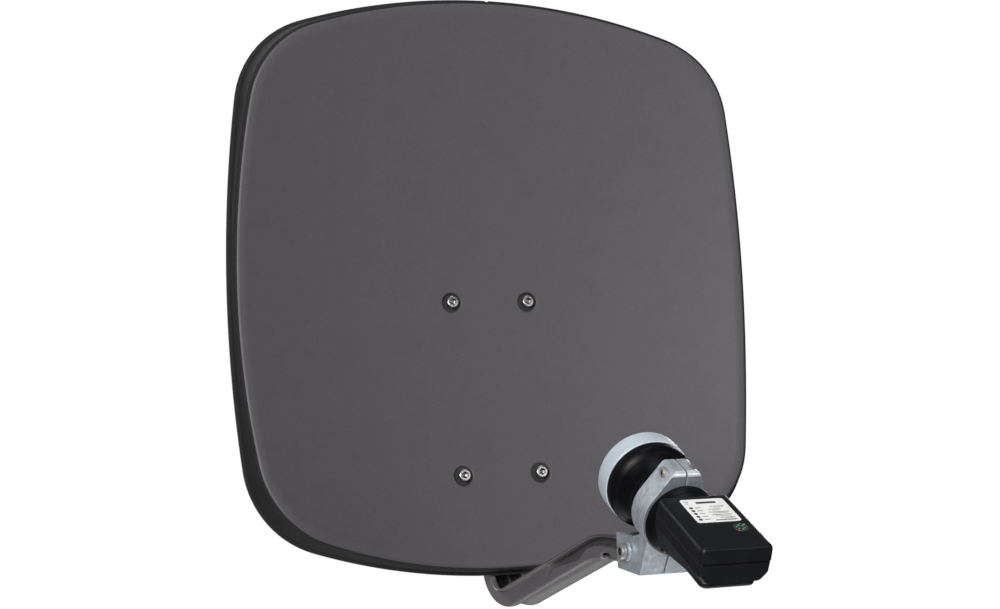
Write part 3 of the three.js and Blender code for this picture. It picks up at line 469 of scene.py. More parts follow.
# darker steel inside hexagon sockets: painted shade
socket_painted_shade = plated_steel("socket_painted_shade", (0.17, 0.17, 0.165))
nickel = plated_steel("socket_nickel", (0.68, 0.66, 0.60))
cap_plastic = soft_cap("cap_plastic")
horn_plastic = moulded("horn_plastic", (0.0018, 0.0019, 0.0024), (0.0032, 0.0034, 0.0042), 0.36, 0.11)
black_plastic = moulded("housing_plastic", (0.0035, 0.0038, 0.0050), (0.006, 0.0064, 0.0080), shine=0.24)
seal_rubber = rubber("seal_rubber")
laminate = solder_mask("circuit_board")
film = printed_film("label_film")
print_ink = ink("label_ink")
lamp_glass = lens("lamp_lens", (0.012, 0.016, 0.014), (0.03, 0.04, 0.035))
green_lamp = lens("lamp_green", (0.01, 0.16, 0.06), (0.03, 0.32, 0.12))
red_lamp = lens("lamp_red", (0.2, 0.012, 0.01), (0.4, 0.03, 0.02))
dielectric = moulded("socket_core", (0.6, 0.6, 0.56), (0.72, 0.72, 0.68))

# ---- mesh helpers ----


def sweep(steps, turn=pi / 2, first=0):
    """Angles up to `turn`, in even steps."""
    return [turn * k / steps for k in range(first, steps + 1)]


def around(radius, turn):
    """The point at a distance and a turn from the middle."""
    return radius * cos(turn), radius * sin(turn)


def smooth(share):
    """Eases from 0 to 1, and stays there outside that range."""
    t = min(1, max(0, share))
    return t * t * (3 - 2 * t)


def on_circle(count, start=0):
    return [2 * pi * (i + start) / count for i in range(count)]


def arc(cx, cy, radius, start, end, steps):
    """Points [a, b] on an arc, angles in degrees."""
    turns = [radians(start + (end - start) * i / steps) for i in range(steps + 1)]
    return [(cx + radius * cos(t), cy + radius * sin(t)) for t in turns]


def rounded_box(x0, x1, y0, y1, radius, steps=6):
    return rounded([(x0, y0), (x1, y0), (x1, y1), (x0, y1)], radius, steps)


def rounded(points, radii, steps=6):
    """A closed polygon with its corners rounded; every corner gives steps + 1 points."""
    made = []
    for i, corner in enumerate(points):
        here = Vector(corner)
        before = (Vector(points[i - 1]) - here).normalized()
        after = (Vector(points[(i + 1) % len(points)]) - here).normalized()
        radius = radii[i] if isinstance(radii, (list, tuple)) else radii
        half = before.angle(after) / 2
        if radius <= 0 or abs(half - pi / 2) < 1e-4:
            made += [here.copy() for _ in range(steps + 1)] if radius > 0 else [here]
            continue
        centre = here + (before + after).normalized() * (radius / sin(half))
        first = here + before * (radius / tan(half)) - centre
        last = here + after * (radius / tan(half)) - centre
        turn = first.angle_signed(last)
        for k in range(steps + 1):
            step = Matrix.Rotation(-turn * k / steps, 2)
            made.append(centre + step @ first)
    return [(p.x, p.y) for p in made]


def loft(rings, ends=True):
    """Closed rings of points joined by quads, with flat ends."""
    bm = bmesh.new()
    rows = [[bm.verts.new(p) for p in ring] for ring in rings]
    count = len(rows[0])
    for row, after in zip(rows, rows[1:]):
        for i in range(count):
            j = (i + 1) % count
            bm.faces.new((row[i], row[j], after[j], after[i]))
    if ends:
        bm.faces.new(list(reversed(rows[0])))
        bm.faces.new(rows[-1])
    return tidy(bm)


def closed_loft(rings):
    """Rings joined in a loop, the last to the first."""
    return loft(rings + [rings[0]], ends=False)


def tidy(bm):
    bmesh.ops.remove_doubles(bm, verts=bm.verts, dist=1e-4)
    bmesh.ops.dissolve_degenerate(bm, dist=1e-5, edges=bm.edges)
    bmesh.ops.recalc_face_normals(bm, faces=bm.faces)
    return bm


def lathe(profile, sides=96):
    """A closed profile of (radius, height) turned about Z."""
    bm = bmesh.new()
    rows = []
    for radius, height in profile:
        if radius < 1e-6:
            rows.append([bm.verts.new((0, 0, height))] * sides)
            continue
        rows.append([bm.verts.new((*around(radius, t), height)) for t in on_circle(sides)])
    for row, after in zip(rows, rows[1:] + rows[:1]):
        for i in range(sides):
            j = (i + 1) % sides
            corners = list(dict.fromkeys((row[i], row[j], after[j], after[i])))
            if len(corners) > 2:
                bm.faces.new(corners)
    return tidy(bm)


def extrude(outline, low, high):
    """A prism of an [a, b] outline between two heights."""
    return loft([[(a, b, height) for a, b in outline] for height in (low, high)])


def level_prism(outline, low, high):
    """A prism of an [x, s] outline in the feed's frame, between two heights over its axis."""
    return loft([[(x, y, s) for x, s in outline] for y in (low, high)])


def transformed(bm, matrix):
    bmesh.ops.transform(bm, matrix=matrix, verts=bm.verts)
    bmesh.ops.recalc_face_normals(bm, faces=bm.faces)
    return bm


def moved(bm, x=0, y=0, z=0, axis=(0, 0, 1)):
    """The mesh with its Z axis turned to `axis`, at a new place."""
    turn = Vector((0, 0, 1)).rotation_difference(Vector(axis)).to_matrix()
    return transformed(bm, Matrix.Translation((x, y, z)) @ turn.to_4x4())


# turns a prism drawn in Y and Z, so that it runs from one X to another
SIDEWAYS = Matrix(((0, 0, 1, 0), (1, 0, 0, 0), (0, 1, 0, 0), (0, 0, 0, 1)))


def side_prism(outline, low, high):
    return transformed(extrude(outline, low, high), SIDEWAYS)


def block(x0, x1, y0, y1, z0, z1):
    return extrude([(x0, y0), (x1, y0), (x1, y1), (x0, y1)], z0, z1)


def rod(radius, low, high, sides=48):
    return extrude(arc(0, 0, radius, 0, 360 - 360 / sides, sides - 1), low, high)


def as_mesh(name, bm):
    mesh = bpy.data.meshes.new(name)
    bm.to_mesh(mesh)
    bm.free()
    return mesh


def add_to(bm, other):
    mesh = as_mesh("part", other)
    bm.from_mesh(mesh)
    bpy.data.meshes.remove(mesh)


def boolean(first, others, how):
    """first with the others cut away, joined on or kept in common."""
    base, *tools = [added("work", as_mesh("work", bm)) for bm in (first, *others)]
    for tool in tools:
        modifier = base.modifiers.new("boolean", "BOOLEAN")
        modifier.operation = how
        modifier.solver = "MANIFOLD"
        modifier.object = tool
    graph = bpy.context.evaluated_depsgraph_get()
    mesh = bpy.data.meshes.new_from_object(base.evaluated_get(graph))
    made = bmesh.new()
    made.from_mesh(mesh)
    bpy.data.meshes.remove(mesh)
    for used in [base, *tools]:
        data = used.data
        bpy.data.objects.remove(used)
        bpy.data.meshes.remove(data)
    return made


def cut(first, *others):
    return boolean(first, others, "DIFFERENCE")


def join(first, *others):
    return boolean(first, others, "UNION")


def keep(first, *others):
    return boolean(first, others, "INTERSECT")


def merged(bm):
    """Joins the close points that a boolean leaves behind."""
    bmesh.ops.remove_doubles(bm, verts=bm.verts, dist=1e-3)
    return bm


def soften(bm, width=0.35, steps=2, angle=28, material=-1):
    """Rounds every edge sharper than `angle` degrees; the roundings may take their own material."""
    merged(bm)
    bmesh.ops.dissolve_limit(bm, angle_limit=radians(0.6), verts=bm.verts, edges=bm.edges)
    limit = radians(angle)
    sharp = [e for e in bm.edges if len(e.link_faces) == 2 and e.calc_face_angle(0) > limit]
    bmesh.ops.bevel(
        bm, geom=sharp, offset=width, offset_type="OFFSET", segments=steps,
        profile=0.5, affect="EDGES", clamp_overlap=True, material=material,
    )
    return bm


def piece(name, bm, place, body, material, node=None, sharp=38, weighted=True):
    """Makes the finished object: in the row's frame, shaded, riding on its body.

    `node` is the CAD node that it replaces. The slot's name is the material's.
    """
    transformed(bm, place)
    for face in bm.faces:
        face.smooth = True
    for edge in bm.edges:
        edge.smooth = len(edge.link_faces) == 2 and edge.calc_face_angle(0) < radians(sharp)
    made = added(name, as_mesh(name, bm))
    made.data.materials.append(material)
    if weighted:
        made.modifiers.new("normals", "WEIGHTED_NORMAL").keep_sharp = True
    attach(made, body)
    if node:
        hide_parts(node)
    return made


# ---- fasteners, along +Z from the seat of the head ----

RING = 48


def hex_reach(turn, flats):
    """From the middle to the edge of a hexagon."""
    sector = pi / 3
    inside = (turn + sector / 2) % sector - sector / 2
    return flats / 2 / cos(inside)


def ring(radius, height):
    """A ring at one height; radius and height may be functions of the turn."""
    made = []
    for t in on_circle(RING):
        r = radius(t) if callable(radius) else radius
        h = height(t) if callable(height) else height
        made.append((*around(r, t), h))
    return made


def rings_of(profile):
    return [ring(*at) for at in profile]


def thread_rings(radius, pitch, low, high):
    """Rings of a helical V thread that runs out at both ends."""
    depth = 0.54 * pitch
    steps = max(2, round((high - low) / pitch * 6))
    rings = []
    for k in range(steps + 1):
        z = low + (high - low) * k / steps
        fade = min(1, (z - low) / pitch, (high - z) / pitch)

        def reach(t, z=z, fade=fade):
            wave = abs(((z / pitch - t / (2 * pi)) % 1) * 2 - 1)
            return radius - depth * (1 - wave) * fade

        rings.append(ring(reach, z))
    return rings


def shank(size, length, plain=0):
    """Rings of a screw's shank: a plain stretch under the head, then the thread."""
    r = size["shank"]
    low = max(plain, 0.2)
    rings = [ring(r, 0.05), ring(r, low)] if low > 0.3 else []
    rings += thread_rings(r, size["pitch"], low, length - 0.8)
    return rings + [ring(r - 0.7, length)]


def socket_screw(size, length, plain=0):
    """Cap screw with a rounded head and a hexagon socket, which takes the second material: a darker steel
    as painted shade.
    """
    head, top = size["head"], -size["height"]
    socket = lambda t: hex_reach(t, size["socket"])
    deep = top * 0.42
    profile = [
        (0.05, deep + 0.5), (lambda t: socket(t) * 0.86, deep), (socket, deep - 0.15), (socket, top + 0.25),
        (lambda t: socket(t) * 1.07 + 0.1, top), (head - 1.0, top), (head - 0.55, top + 0.1),
        (head - 0.2, top + 0.35), (head, top + 0.8), (head, -0.5), (head - 0.15, -0.15), (head - 0.4, 0),
    ]
    bm = loft(rings_of(profile) + shank(size, length, plain))
    reach = size["socket"] / 2 * 1.17
    # faces inside the socket take the darker steel: painted shade
    for face in bm.faces:
        inside = all(hypot(v.co.x, v.co.y) < reach and v.co.z > 0.1 + top for v in face.verts)
        face.material_index = 1 if inside and face.calc_center_median().z < 0 else 0
    return bm


def hexagon(flats, low, high, chamfer_high=True):
    """Rings of a hexagon whose corners are turned down at its low end, and its high end if asked."""
    slope = tan(radians(30))
    inner = flats / 2 * 0.97
    reach = lambda t: hex_reach(t, flats)
    drop = lambda t: (reach(t) - inner) * slope
    rings = [ring(inner, low), ring(reach, lambda t: low + drop(t))]
    if chamfer_high:
        return rings + [ring(reach, lambda t: high - drop(t)), ring(inner, high)]
    return rings + [ring(reach, high)]


def hex_screw(size, length, plain=0):
    """Hexagon head with a turned washer face below it."""
    flats, height = 2 * size["head"] * cos(pi / 6), size["height"]
    face = flats / 2 * 0.95
    rings = rings_of([(0.05, 0.15 - height), (flats * 0.3, 0.15 - height), (flats * 0.36, -height)])
    rings += hexagon(flats, -height, -0.4, chamfer_high=False) + rings_of([(face, -0.4), (face, 0)])
    return loft(rings + shank(size, length, plain))


def round_screw(size, length, radius, height):
    """Carriage bolt: a low domed head."""
    dome = [(radius * sin(a), -0.6 - (height - 0.6) * cos(a)) for a in sweep(8, first=1)]
    profile = [(0.05, -height), *dome, (radius, -0.2), (radius - 0.2, 0)]
    return loft(rings_of(profile) + shank(size, length, 3))


def nut_mesh(size):
    """Chamfered hexagon nut with a countersunk hole."""
    flats, height, hole = size["nut"], size["nut_height"], size["shank"] + 0.15
    bore = [(hole + 0.7, height), (hole, height - 0.7), (hole, 0.7), (hole + 0.7, 0)]
    return closed_loft(hexagon(flats, 0, height) + rings_of(bore))


def washer_mesh(size, radius, thickness):
    hole, top, edge = size["shank"] + 0.4, thickness, 0.18
    profile = [
        (hole, edge), (hole + edge, 0), (radius - edge, 0), (radius, edge),
        (radius, top - edge), (radius - edge, top), (hole + edge, top), (hole, top - edge),
    ]
    return closed_loft(rings_of(profile))


def fastener(name, bm, at, axis=(1, 0, 0), place=MAST, body="mast", look=None):
    moved(bm, *at, axis=axis)
    made = piece(name + "_turned", bm, place, body, look or steel, name)
    # the second slot: darker steel for sockets, painted shade
    made.data.materials.append(socket_painted_shade)


def add_dish_fasteners():
    on_frame = dict(axis=(0, 1, 0), place=FRAME, body="dish")
    behind = FRAME_FRONT + PLATE + GAP
    for end, z in (("upper", SCREW_Z), ("lower", -SCREW_Z)):
        for side, x in (("left", -SCREW_X), ("right", SCREW_X)):
            seat = (x, SEAT_DEPTH - GAP, z)
            fastener(f"reflector_screw_{end}_{side}", socket_screw(M6, 19), seat, **on_frame)
            fastener(f"reflector_nut_{end}_{side}", nut_mesh(M6), (x, behind, z), **on_frame)
    for end, z in zip(("upper", "lower"), ARM_BOLT_Z):
        bolt = round_screw(M6, 31, 6, 2.7)
        fastener(f"arm_bolt_{end}", bolt, (0, FRAME_FRONT - GAP, z), **on_frame)
        fastener(f"arm_nut_{end}", nut_mesh(M6), (0, ARM_BACK + GAP, z), **on_frame)


def add_clamp_fasteners():
    on_feed = dict(place=FEED, body="dish")
    screw = socket_screw(M5, 20, 4)
    fastener("clamp_top_screw", screw, (-LUG_HALF - GAP, *LUG_SCREW), look=dull_steel, **on_feed)
    fastener("clamp_top_nut", nut_mesh(M5), (NUT_POCKET_X + GAP, *LUG_SCREW), **on_feed)
    foot = feed_points([FOOT_BOLT])[0]
    thick = 2
    washer_x = -FOOT_HALF_WIDTH - GAP - thick
    screw = socket_screw(dict(M6, height=3.6), 42, 18)
    fastener("clamp_foot_bolt", screw, (washer_x - GAP, *foot), look=dull_steel, **on_feed)
    washer = washer_mesh(M6, 6.5, thick)
    fastener("clamp_foot_washer", washer, (washer_x, *foot), look=cast_zinc, **on_feed)
    fastener("clamp_foot_nut", nut_mesh(M6), (FOOT_HALF_WIDTH + GAP, *foot), **on_feed)


def add_mast_fasteners():
    along = (0, 1, 0)
    thick = 1.6
    jaw_y = -BRACKET_WEB_Y + PLATE + GAP
    for side, (x, _) in zip(("left", "right"), CLAMP_BOLTS):
        fastener(f"clamp_bolt_{side}", hex_screw(M8, 92, 40), (x, BRACKET_WEB_Y - GAP, 0), along)
        fastener(f"jaw_washer_{side}", washer_mesh(M8, 8, thick), (x, jaw_y, 0), along, body="jaw")
        fastener(f"jaw_nut_{side}", nut_mesh(M8), (x, jaw_y + thick + GAP, 0), along, body="jaw")
    outside = FRAME_HALF_WIDTH + GAP
    fastener("pivot_bolt", hex_screw(M8, 117, 100), (-outside, *PIVOT))
    fastener("pivot_nut", nut_mesh(M8), (outside, *PIVOT))
    lock = (PIVOT[0], PIVOT[1] + LOCK_RADIUS)
    inside = BRACKET_HALF_WIDTH - PLATE - GAP
    for side, sign in (("left", -1), ("right", 1)):
        inward = (-sign, 0, 0)
        washer_x = sign * (outside + thick)
        fastener(f"lock_screw_{side}", hex_screw(M8, 20), (washer_x + sign * GAP, *lock), inward)
        fastener(f"lock_washer_{side}", washer_mesh(M8, 8, thick), (washer_x, *lock), inward)
        fastener(f"lock_nut_{side}", nut_mesh(M8), (sign * inside, *lock), inward)


# ---- reflector ----

SEAT_FLAT, SEAT_RIM, SEAT_HOLE = 6.9, 9.0, 3.3
SEAT_RADII = (SEAT_HOLE, 4.4, 5.8, SEAT_FLAT, 7.15, 7.4, 7.65, 7.95, 8.25, 8.5, 8.75, SEAT_RIM, 9.8, 11.5)
SEAT_SIDES, SEAT_CLEAR = 40, 14
SEAT_SHADE = 8.0  # inside this radius the coating is darker: painted shade in the screw seats
FACE_ROWS, FACE_SIDES = 38, 288
RIM_SHADE_STEPS = (2, 15)  # the steps of the rim's section that are its outer wall, which is coloured near-black as painted shade
NOTCH_TURNS = (-0.8, -0.42, -0.2, 0.2, 0.42, 0.8)  # degrees either side of the top


def seat_places():
    made = []
    for x in (-SCREW_X, SCREW_X):
        for z in (-SCREW_Z, SCREW_Z):
            centre = frame_to_dish @ Vector((x, SEAT_DEPTH, z))
            made.append((centre.x, centre.z))
    return made


def seat_plane(z):
    """The Y of the flat bottom of a screw seat, at a height in the dish frame."""
    lean = FRAME_LEAN
    up = (z - SCREW_MIDDLE_Z + SEAT_DEPTH * sin(lean)) / cos(lean)
    return FRAME_Y + SEAT_DEPTH * cos(lean) + up * sin(lean)


def face_y(x, z, seats):
    y = -face_forward(x, z)
    for sx, sz in seats:
        r = hypot(x - sx, z - sz)
        if r < SEAT_RIM:
            return y + (seat_plane(z) - y) * smooth((SEAT_RIM - r) / (SEAT_RIM - SEAT_FLAT))
    return y


def rim_turns():
    top = pi / 2
    return sorted(on_circle(FACE_SIDES) + [top + radians(d) for d in NOTCH_TURNS])


def rim_section():
    """From the edge of the face outwards and back: (kind, out or lip, back or lift)."""
    outside = [("edge", 5.3 * sin(a), 4.9 * (1 - cos(a))) for a in sweep(8, first=1)]
    fillet = [("lip", 1.5 * (1 - cos(a)) - LIP - 0.1, SHEET + 1.5 * (1 - sin(a))) for a in sweep(4)]
    half = SHEET / 2
    end = [("lip", half * sin(a) - half, half + half * cos(a)) for a in sweep(6, pi)]
    inside = [("lip", 1.2 * (1 - cos(a)) - LIP - 1.6, 1.2 * (1 - sin(a))) for a in sweep(3)[::-1]]
    back = [("edge", 3.7 * sin(a), SHEET + 3.5 * (1 - cos(a))) for a in sweep(6, first=1)[::-1]]
    return outside + fillet + end + inside + back


def face_edge(turn):
    return outline_radius(turn, DISH_WIDTH / 2 - FACE_INSET[0], DISH_HEIGHT / 2 - FACE_INSET[1], FACE_ARCS)


def near_seat(x, z, seats, radius):
    return any(hypot(x - sx, z - sz) < radius for sx, sz in seats)


def face_points(turns, edge, seats):
    """The face's points in X and Z, and where the round hole of each seat starts among them."""
    points = [around(r, t) for r, t in zip(edge, turns)]
    for k in range(1, FACE_ROWS):
        share = k / FACE_ROWS
        for t in on_circle(max(8, round(FACE_SIDES * share)), 0.5 * (k % 2)):
            place = around(share * face_edge(t), t)
            if not near_seat(*place, seats, SEAT_CLEAR):
                points.append(place)
    holes = []
    for sx, sz in seats:
        holes.append(len(points))
        for radius in SEAT_RADII:
            points += [(sx + radius * cos(t), sz + radius * sin(t)) for t in on_circle(SEAT_SIDES)]
    return points, holes


def rim_line(turn, edge, section):
    """The rim's section at one place round the dish, as points."""
    rim = outline_radius(turn, DISH_WIDTH / 2, DISH_HEIGHT / 2, LIP_ARCS)
    forward = face_forward(*around(edge, turn))
    away = abs(degrees(turn) - 90)
    notch = 1.6 if away < 0.1 else 0.9 if away < 0.3 else 0
    line = []
    for kind, out_by, back_by in section:
        if kind == "edge":
            reach, y = edge + out_by, back_by - forward
        else:
            pull = notch if out_by > 0.4 - LIP else 0
            reach, y = rim + out_by - pull, RIM_DEPTH - RIM_FOLLOW * forward - back_by
        line.append((reach * cos(turn), y, reach * sin(turn)))
    return line


def loops(items):
    """Each item with the next, round a closed loop."""
    return list(zip(items, items[1:] + items[:1]))


def add_reflector():
    seats = seat_places()
    turns = rim_turns()
    edge = [face_edge(t) for t in turns]
    points, holes = face_points(turns, edge, seats)
    rings = [loops(list(range(start, start + SEAT_SIDES))) for start in holes]
    bounds = sum(rings, loops(list(range(len(turns)))))
    out, _, faces, origins, _, _ = delaunay_2d_cdt([Vector(p) for p in points], bounds, [], 0, 1e-6)
    bm = bmesh.new()
    front, behind = [], []
    for p in out:
        y = face_y(p.x, p.y, seats)
        front.append(bm.verts.new((p.x, y, p.y)))
        behind.append(bm.verts.new((p.x, y + SHEET, p.y)))
    for face in faces:
        middle = sum((out[i] for i in face), Vector((0, 0))) / len(face)
        if near_seat(*middle, seats, SEAT_HOLE):
            continue
        seen = bm.faces.new([front[i] for i in face])
        # faces in a screw seat take the darker coat: painted shade
        seen.material_index = 2 if near_seat(*middle, seats, SEAT_SHADE) else 0
        bm.faces.new([behind[i] for i in reversed(face)])
    at = {min(sources): i for i, sources in enumerate(origins) if sources}
    for a, b in sum(rings, []):
        bm.faces.new((front[at[a]], front[at[b]], behind[at[b]], behind[at[a]]))
    section = rim_section()
    lines = []
    for i, (turn, reach) in enumerate(zip(turns, edge)):
        line = [bm.verts.new(p) for p in rim_line(turn, reach, section)]
        lines.append([front[at[i]], *line, behind[at[i]]])
    for line, after in loops(lines):
        for k in range(len(line) - 1):
            face = bm.faces.new((line[k], line[k + 1], after[k + 1], after[k]))
            # the rim's outer wall takes the near-black coat: painted shade
            face.material_index = 1 if RIM_SHADE_STEPS[0] <= k < RIM_SHADE_STEPS[1] else 0
    made = piece("reflector_sheet", bm, DISH, "dish", paint, "reflector", sharp=50, weighted=False)
    made.data.materials.append(rim_shade_paint)
    made.data.materials.append(seat_shade_paint)


# ---- feed arm ----

ARM_END_Y = -284
ARM_OUTER = ((54, -232), (-22, -261.2), (-178, -220.3), (-214, -215.8), (ARM_END_Y, -215.8))
ARM_OPEN = ((25, -232), (-18, -246), (-196, -201.7), (-226, -198.2), (ARM_END_Y, -198.2))
ARM_OUTER_BENDS = ((54, -255), (18, -271), (-196, -215.8))
ARM_OPEN_BENDS = ((14, -258), (-2, -250), (-211, -198.2))
ARM_TOP, ARM_LOW = -18, -92  # the run behind the frame
STEP_LINE = (
    (104, -236), (118, -226.5), (140, -222.6), (160, -219.4), (172, -216.6), (182, -211.4),
    (190, -208.3), (202, -206.6), (216, -206.0), (232, -206.8), (252, -208.0),
)
STEP_DEPTH, STEP_WIDTH = 3.6, 1.6
ARM_DIMPLE = (221, -215.4, 11.0, 5.4, 2.6)  # forward, height, half length, half height, depth
DRAIN_SLOT = (9.2, -220, 2.3, 8)  # across, forward, half width, half length
DRAIN_DEPTH = (-219, -211)
GROOVE_DEPTH, GROOVE_HALF = 2.4, 8.6  # the shallow groove along the middle of the arm's floor
ARM_CORNER, ARM_EDGE_BEND = 3.2, 1.4


def straight(a, b, steps):
    return [a.lerp(b, k / steps) for k in range(1, steps + 1)]


def bezier(a, b, c, d, steps):
    made = []
    for t in [k / steps for k in range(1, steps + 1)]:
        s = 1 - t
        made.append(a * s**3 + b * 3 * s * s * t + c * 3 * s * t * t + d * t**3)
    return made


def arm_line(behind_y, places, bends):
    """Straight runs, then the bend, then the slope, the flattening curve and the tip."""
    top, low = [(frame_to_dish @ Vector((0, behind_y, z))).yz for z in (ARM_TOP, ARM_LOW)]
    bend, slope, curve, flat, tip = [Vector(p) for p in places]
    first, second, middle = [Vector(p) for p in bends]
    made = [top] + straight(top, low, 16) + straight(low, bend, 20)
    made += bezier(bend, first, second, slope, 40) + straight(slope, curve, 70)
    made += bezier(curve, curve.lerp(middle, 2 / 3), flat.lerp(middle, 2 / 3), flat, 30)
    return made + straight(flat, tip, 60)


def step_height(forward):
    """Height of the pressed step along the arm's flanks, in the dish frame."""
    for (a, za), (b, zb) in zip(STEP_LINE, STEP_LINE[1:]):
        if a <= forward <= b:
            return za + (zb - za) * (forward - a) / (b - a)
    return None


def flank_inset(forward, height):
    """How far a flank is pressed inwards at a place on it."""
    step = step_height(forward)
    if step is None:
        return 0
    fade = min(1, (forward - STEP_LINE[0][0]) / 26, (STEP_LINE[-1][0] - forward) / 8)
    return STEP_DEPTH * smooth((height - step) / STEP_WIDTH + 0.5) * max(0, fade)


def dent(forward, height):
    """Depth of the dimple pressed into the arm's lower corners near the clamp."""
    n, z, long, tall, depth = ARM_DIMPLE
    away = hypot((forward - n) / long, (height - z) / tall)
    return depth * (1 - away**3) if away < 1 else 0


def arm_section(height, lip):
    """Half of the arm's section as (across, up) of its outer and its inner skin."""
    corner, half, sheet, bend = ARM_CORNER, ARM_HALF_WIDTH, ARM_SHEET, ARM_EDGE_BEND
    outer, inner = [], []
    for k in range(7):
        x = (half - corner) * k / 6
        up = GROOVE_DEPTH * (0.5 + 0.5 * cos(pi * min(1, x / GROOVE_HALF)))
        outer.append((x, up))
        inner.append((x * (half - sheet - 1) / half, up + sheet))
    small = corner - sheet
    for a in sweep(5, first=1):
        out, up = sin(a), 1 - cos(a)
        outer.append((half - corner + corner * out, corner * up))
        inner.append((half - corner + small * out, sheet + small * up))
    wall_top = height - sheet - bend
    for k in range(1, 17):
        up = corner + (wall_top - corner) * k / 16
        outer.append((half, up))
        inner.append((half - sheet, up))
    for a in sweep(4, first=1):
        out, up = 1 - cos(a), sin(a)
        outer.append((half + lip * 0.4 * out, wall_top + bend * up))
        inner.append((half - sheet + (sheet + lip * 0.4) * 0.75 * out, wall_top + (bend + sheet) * up))
    for a in sweep(6, pi):
        reach = half + 0.2 + max(0, lip - 1) + min(1, lip) * sin(a)
        outer.append((reach, height - sheet / 2 - sheet / 2 * cos(a)))
    return outer, inner


def pressed_place(across, rise, height, low, up):
    """A point of the section in the dish frame, with the pressed step and the dimple."""
    at = low + up * rise
    wall_end = height - ARM_SHEET - 0.2
    if across > ARM_HALF_WIDTH - ARM_SHEET - 0.3 and 1.5 < rise < wall_end:
        across -= flank_inset(-at.x, at.y) * min(1, (wall_end - rise) / 1.2, (rise - 1.5) / 1.5)
    depth = dent(-at.x, at.y) if across > ARM_HALF_WIDTH - 6 else 0
    return across - depth, at.x, at.y + 0.35 * depth


def arm_ring(low, high):
    height = (high - low).length
    up = (high - low) / height
    share = min(1, max(0, (low.x + 252) / 8)) ** 0.5 if low.x < -240 else 1
    outer, inner = arm_section(height, max(ARM_LIP * share, 0.05))
    half = [pressed_place(*place, height, low, up) for place in outer + inner[::-1]]
    left = [(-x, y, z) for x, y, z in half]
    count = len(outer)
    return left[:count][::-1] + half[1:-1] + left[count:][::-1]


def mark_painted_shade(bm, outer_line, open_line):
    """Painted shade at each point: 1 inside the channel, less in the pressed step."""
    layer = bm.verts.layers.float.new("painted_hollow_shade")
    tree = KDTree(len(outer_line))
    for i, low in enumerate(outer_line):
        tree.insert((low.x, low.y, 0), i)
    tree.balance()
    bm.normal_update()
    for v in bm.verts:
        _, i, _ = tree.find((v.co.y, v.co.z, 0))
        rise = v.normal.yz.dot((open_line[i] - outer_line[i]).normalized())
        inward = v.normal.x * copysign(1, v.co.x) < -0.5
        floor = rise > 0.5 and abs(v.co.x) < ARM_HALF_WIDTH - 3
        v[layer] = 1 if inward or floor else 0.55 * flank_inset(-v.co.y, v.co.z) / STEP_DEPTH


def cap_arm(bm):
    """Closes the two ends of the channel with triangles."""
    loose = [e for e in bm.edges if len(e.link_faces) == 1]
    bmesh.ops.holes_fill(bm, edges=loose, sides=0)
    bmesh.ops.triangulate(bm, faces=[f for f in bm.faces if len(f.verts) > 8])


def add_arm():
    outer_line = arm_line(ARM_BACK, ARM_OUTER, ARM_OUTER_BENDS)
    open_line = arm_line(FRAME_FRONT + PLATE + GAP, ARM_OPEN, ARM_OPEN_BENDS)
    bm = loft([arm_ring(low, high) for low, high in zip(outer_line, open_line)], ends=False)
    cap_arm(bm)
    x, y, wide, long = DRAIN_SLOT
    slot = rounded_box(x - wide, x + wide, y - long, y + long, wide * 0.9, 5)
    bm = cut(bm, extrude(slot, *DRAIN_DEPTH), extrude([(-x, y) for x, y in slot], *DRAIN_DEPTH))
    # painted shade inside the channel and in the pressed step
    mark_painted_shade(bm, outer_line, open_line)
    piece("feed_arm_channel", bm, DISH, "dish", arm_light_and_shade_paint, "feed_arm", sharp=55, weighted=False)


# ---- rear frame, mast bracket and jaw ----

FRAME_HALF_HEIGHT, CHEEK_DEPTH = 92, 15
PIVOT_IN_FRAME = (45, -25)
TILT_UP, TILT_DOWN = radians(18), radians(20)
UPRIGHT = FRAME_LEAN + DISH_TILT
SLOT_SPARE = radians(1.5)
SLOT_HALF = M8["shank"] + 0.7
M8_HOLE, M6_HOLE = M8["shank"] + 0.4, M6["shank"] + 0.4
BEND_OUTSIDE, BEND_INSIDE = 3.6, 1.1
PAD_RADIUS = 8.5
MARK_STEPS, MARK_HALF_WIDTH, MARK_DEPTH = 16, 0.3, 0.4
BRACKET_HALF_HEIGHT = 45
MAST_RADIUS = 24
NOTCH_SLOPE = radians(60)
NOTCH_MOUTH = 34
NOTCH_POINT = MAST_RADIUS / sin(NOTCH_SLOPE)
NOTCH_END = NOTCH_POINT - NOTCH_MOUTH / tan(NOTCH_SLOPE)
JAW_HALF_WIDTH, JAW_HALF_HEIGHT = 46, 18
TOOTH_PITCH, TOOTH_DEPTH = 2.8, 1.2
WIDE = 70  # well past either side of any part


def across_hole(radius, y, z):
    return moved(rod(radius, -WIDE, WIDE, 32), 0, y, z, (1, 0, 0))


def along_holes(radius, places, low, high):
    return [moved(rod(radius, low, high, 32), x, 0, z, (0, 1, 0)) for x, z in places]


def bent_plate(half, outside, lining, end):
    """The section of a plate folded to a channel, from its ends to its web."""
    inner = half - PLATE
    points = [(-half, end), (-half, outside), (half, outside), (half, end)]
    points += [(inner, end), (inner, lining), (-inner, lining), (-inner, end)]
    return rounded(points, [0, BEND_OUTSIDE, BEND_OUTSIDE, 0, 0, BEND_INSIDE, BEND_INSIDE, 0], 5)


def cheek_outline():
    y, z = PIVOT_IN_FRAME
    front, back, half = FRAME_FRONT, FRAME_FRONT + CHEEK_DEPTH, FRAME_HALF_HEIGHT
    points = [
        (front, -half), (back, -half), (back, z - 34), (y - 6, z - 15), (y + 6, z - 15), (y + 15, z - 6),
        (y + 18, z + 50), (y + 10, z + 66), (back, z + 70), (back, half), (front, half),
    ]
    return rounded(points, [0, 5, 8, 7, 5, 8, 9, 5, 8, 5, 0], 5)


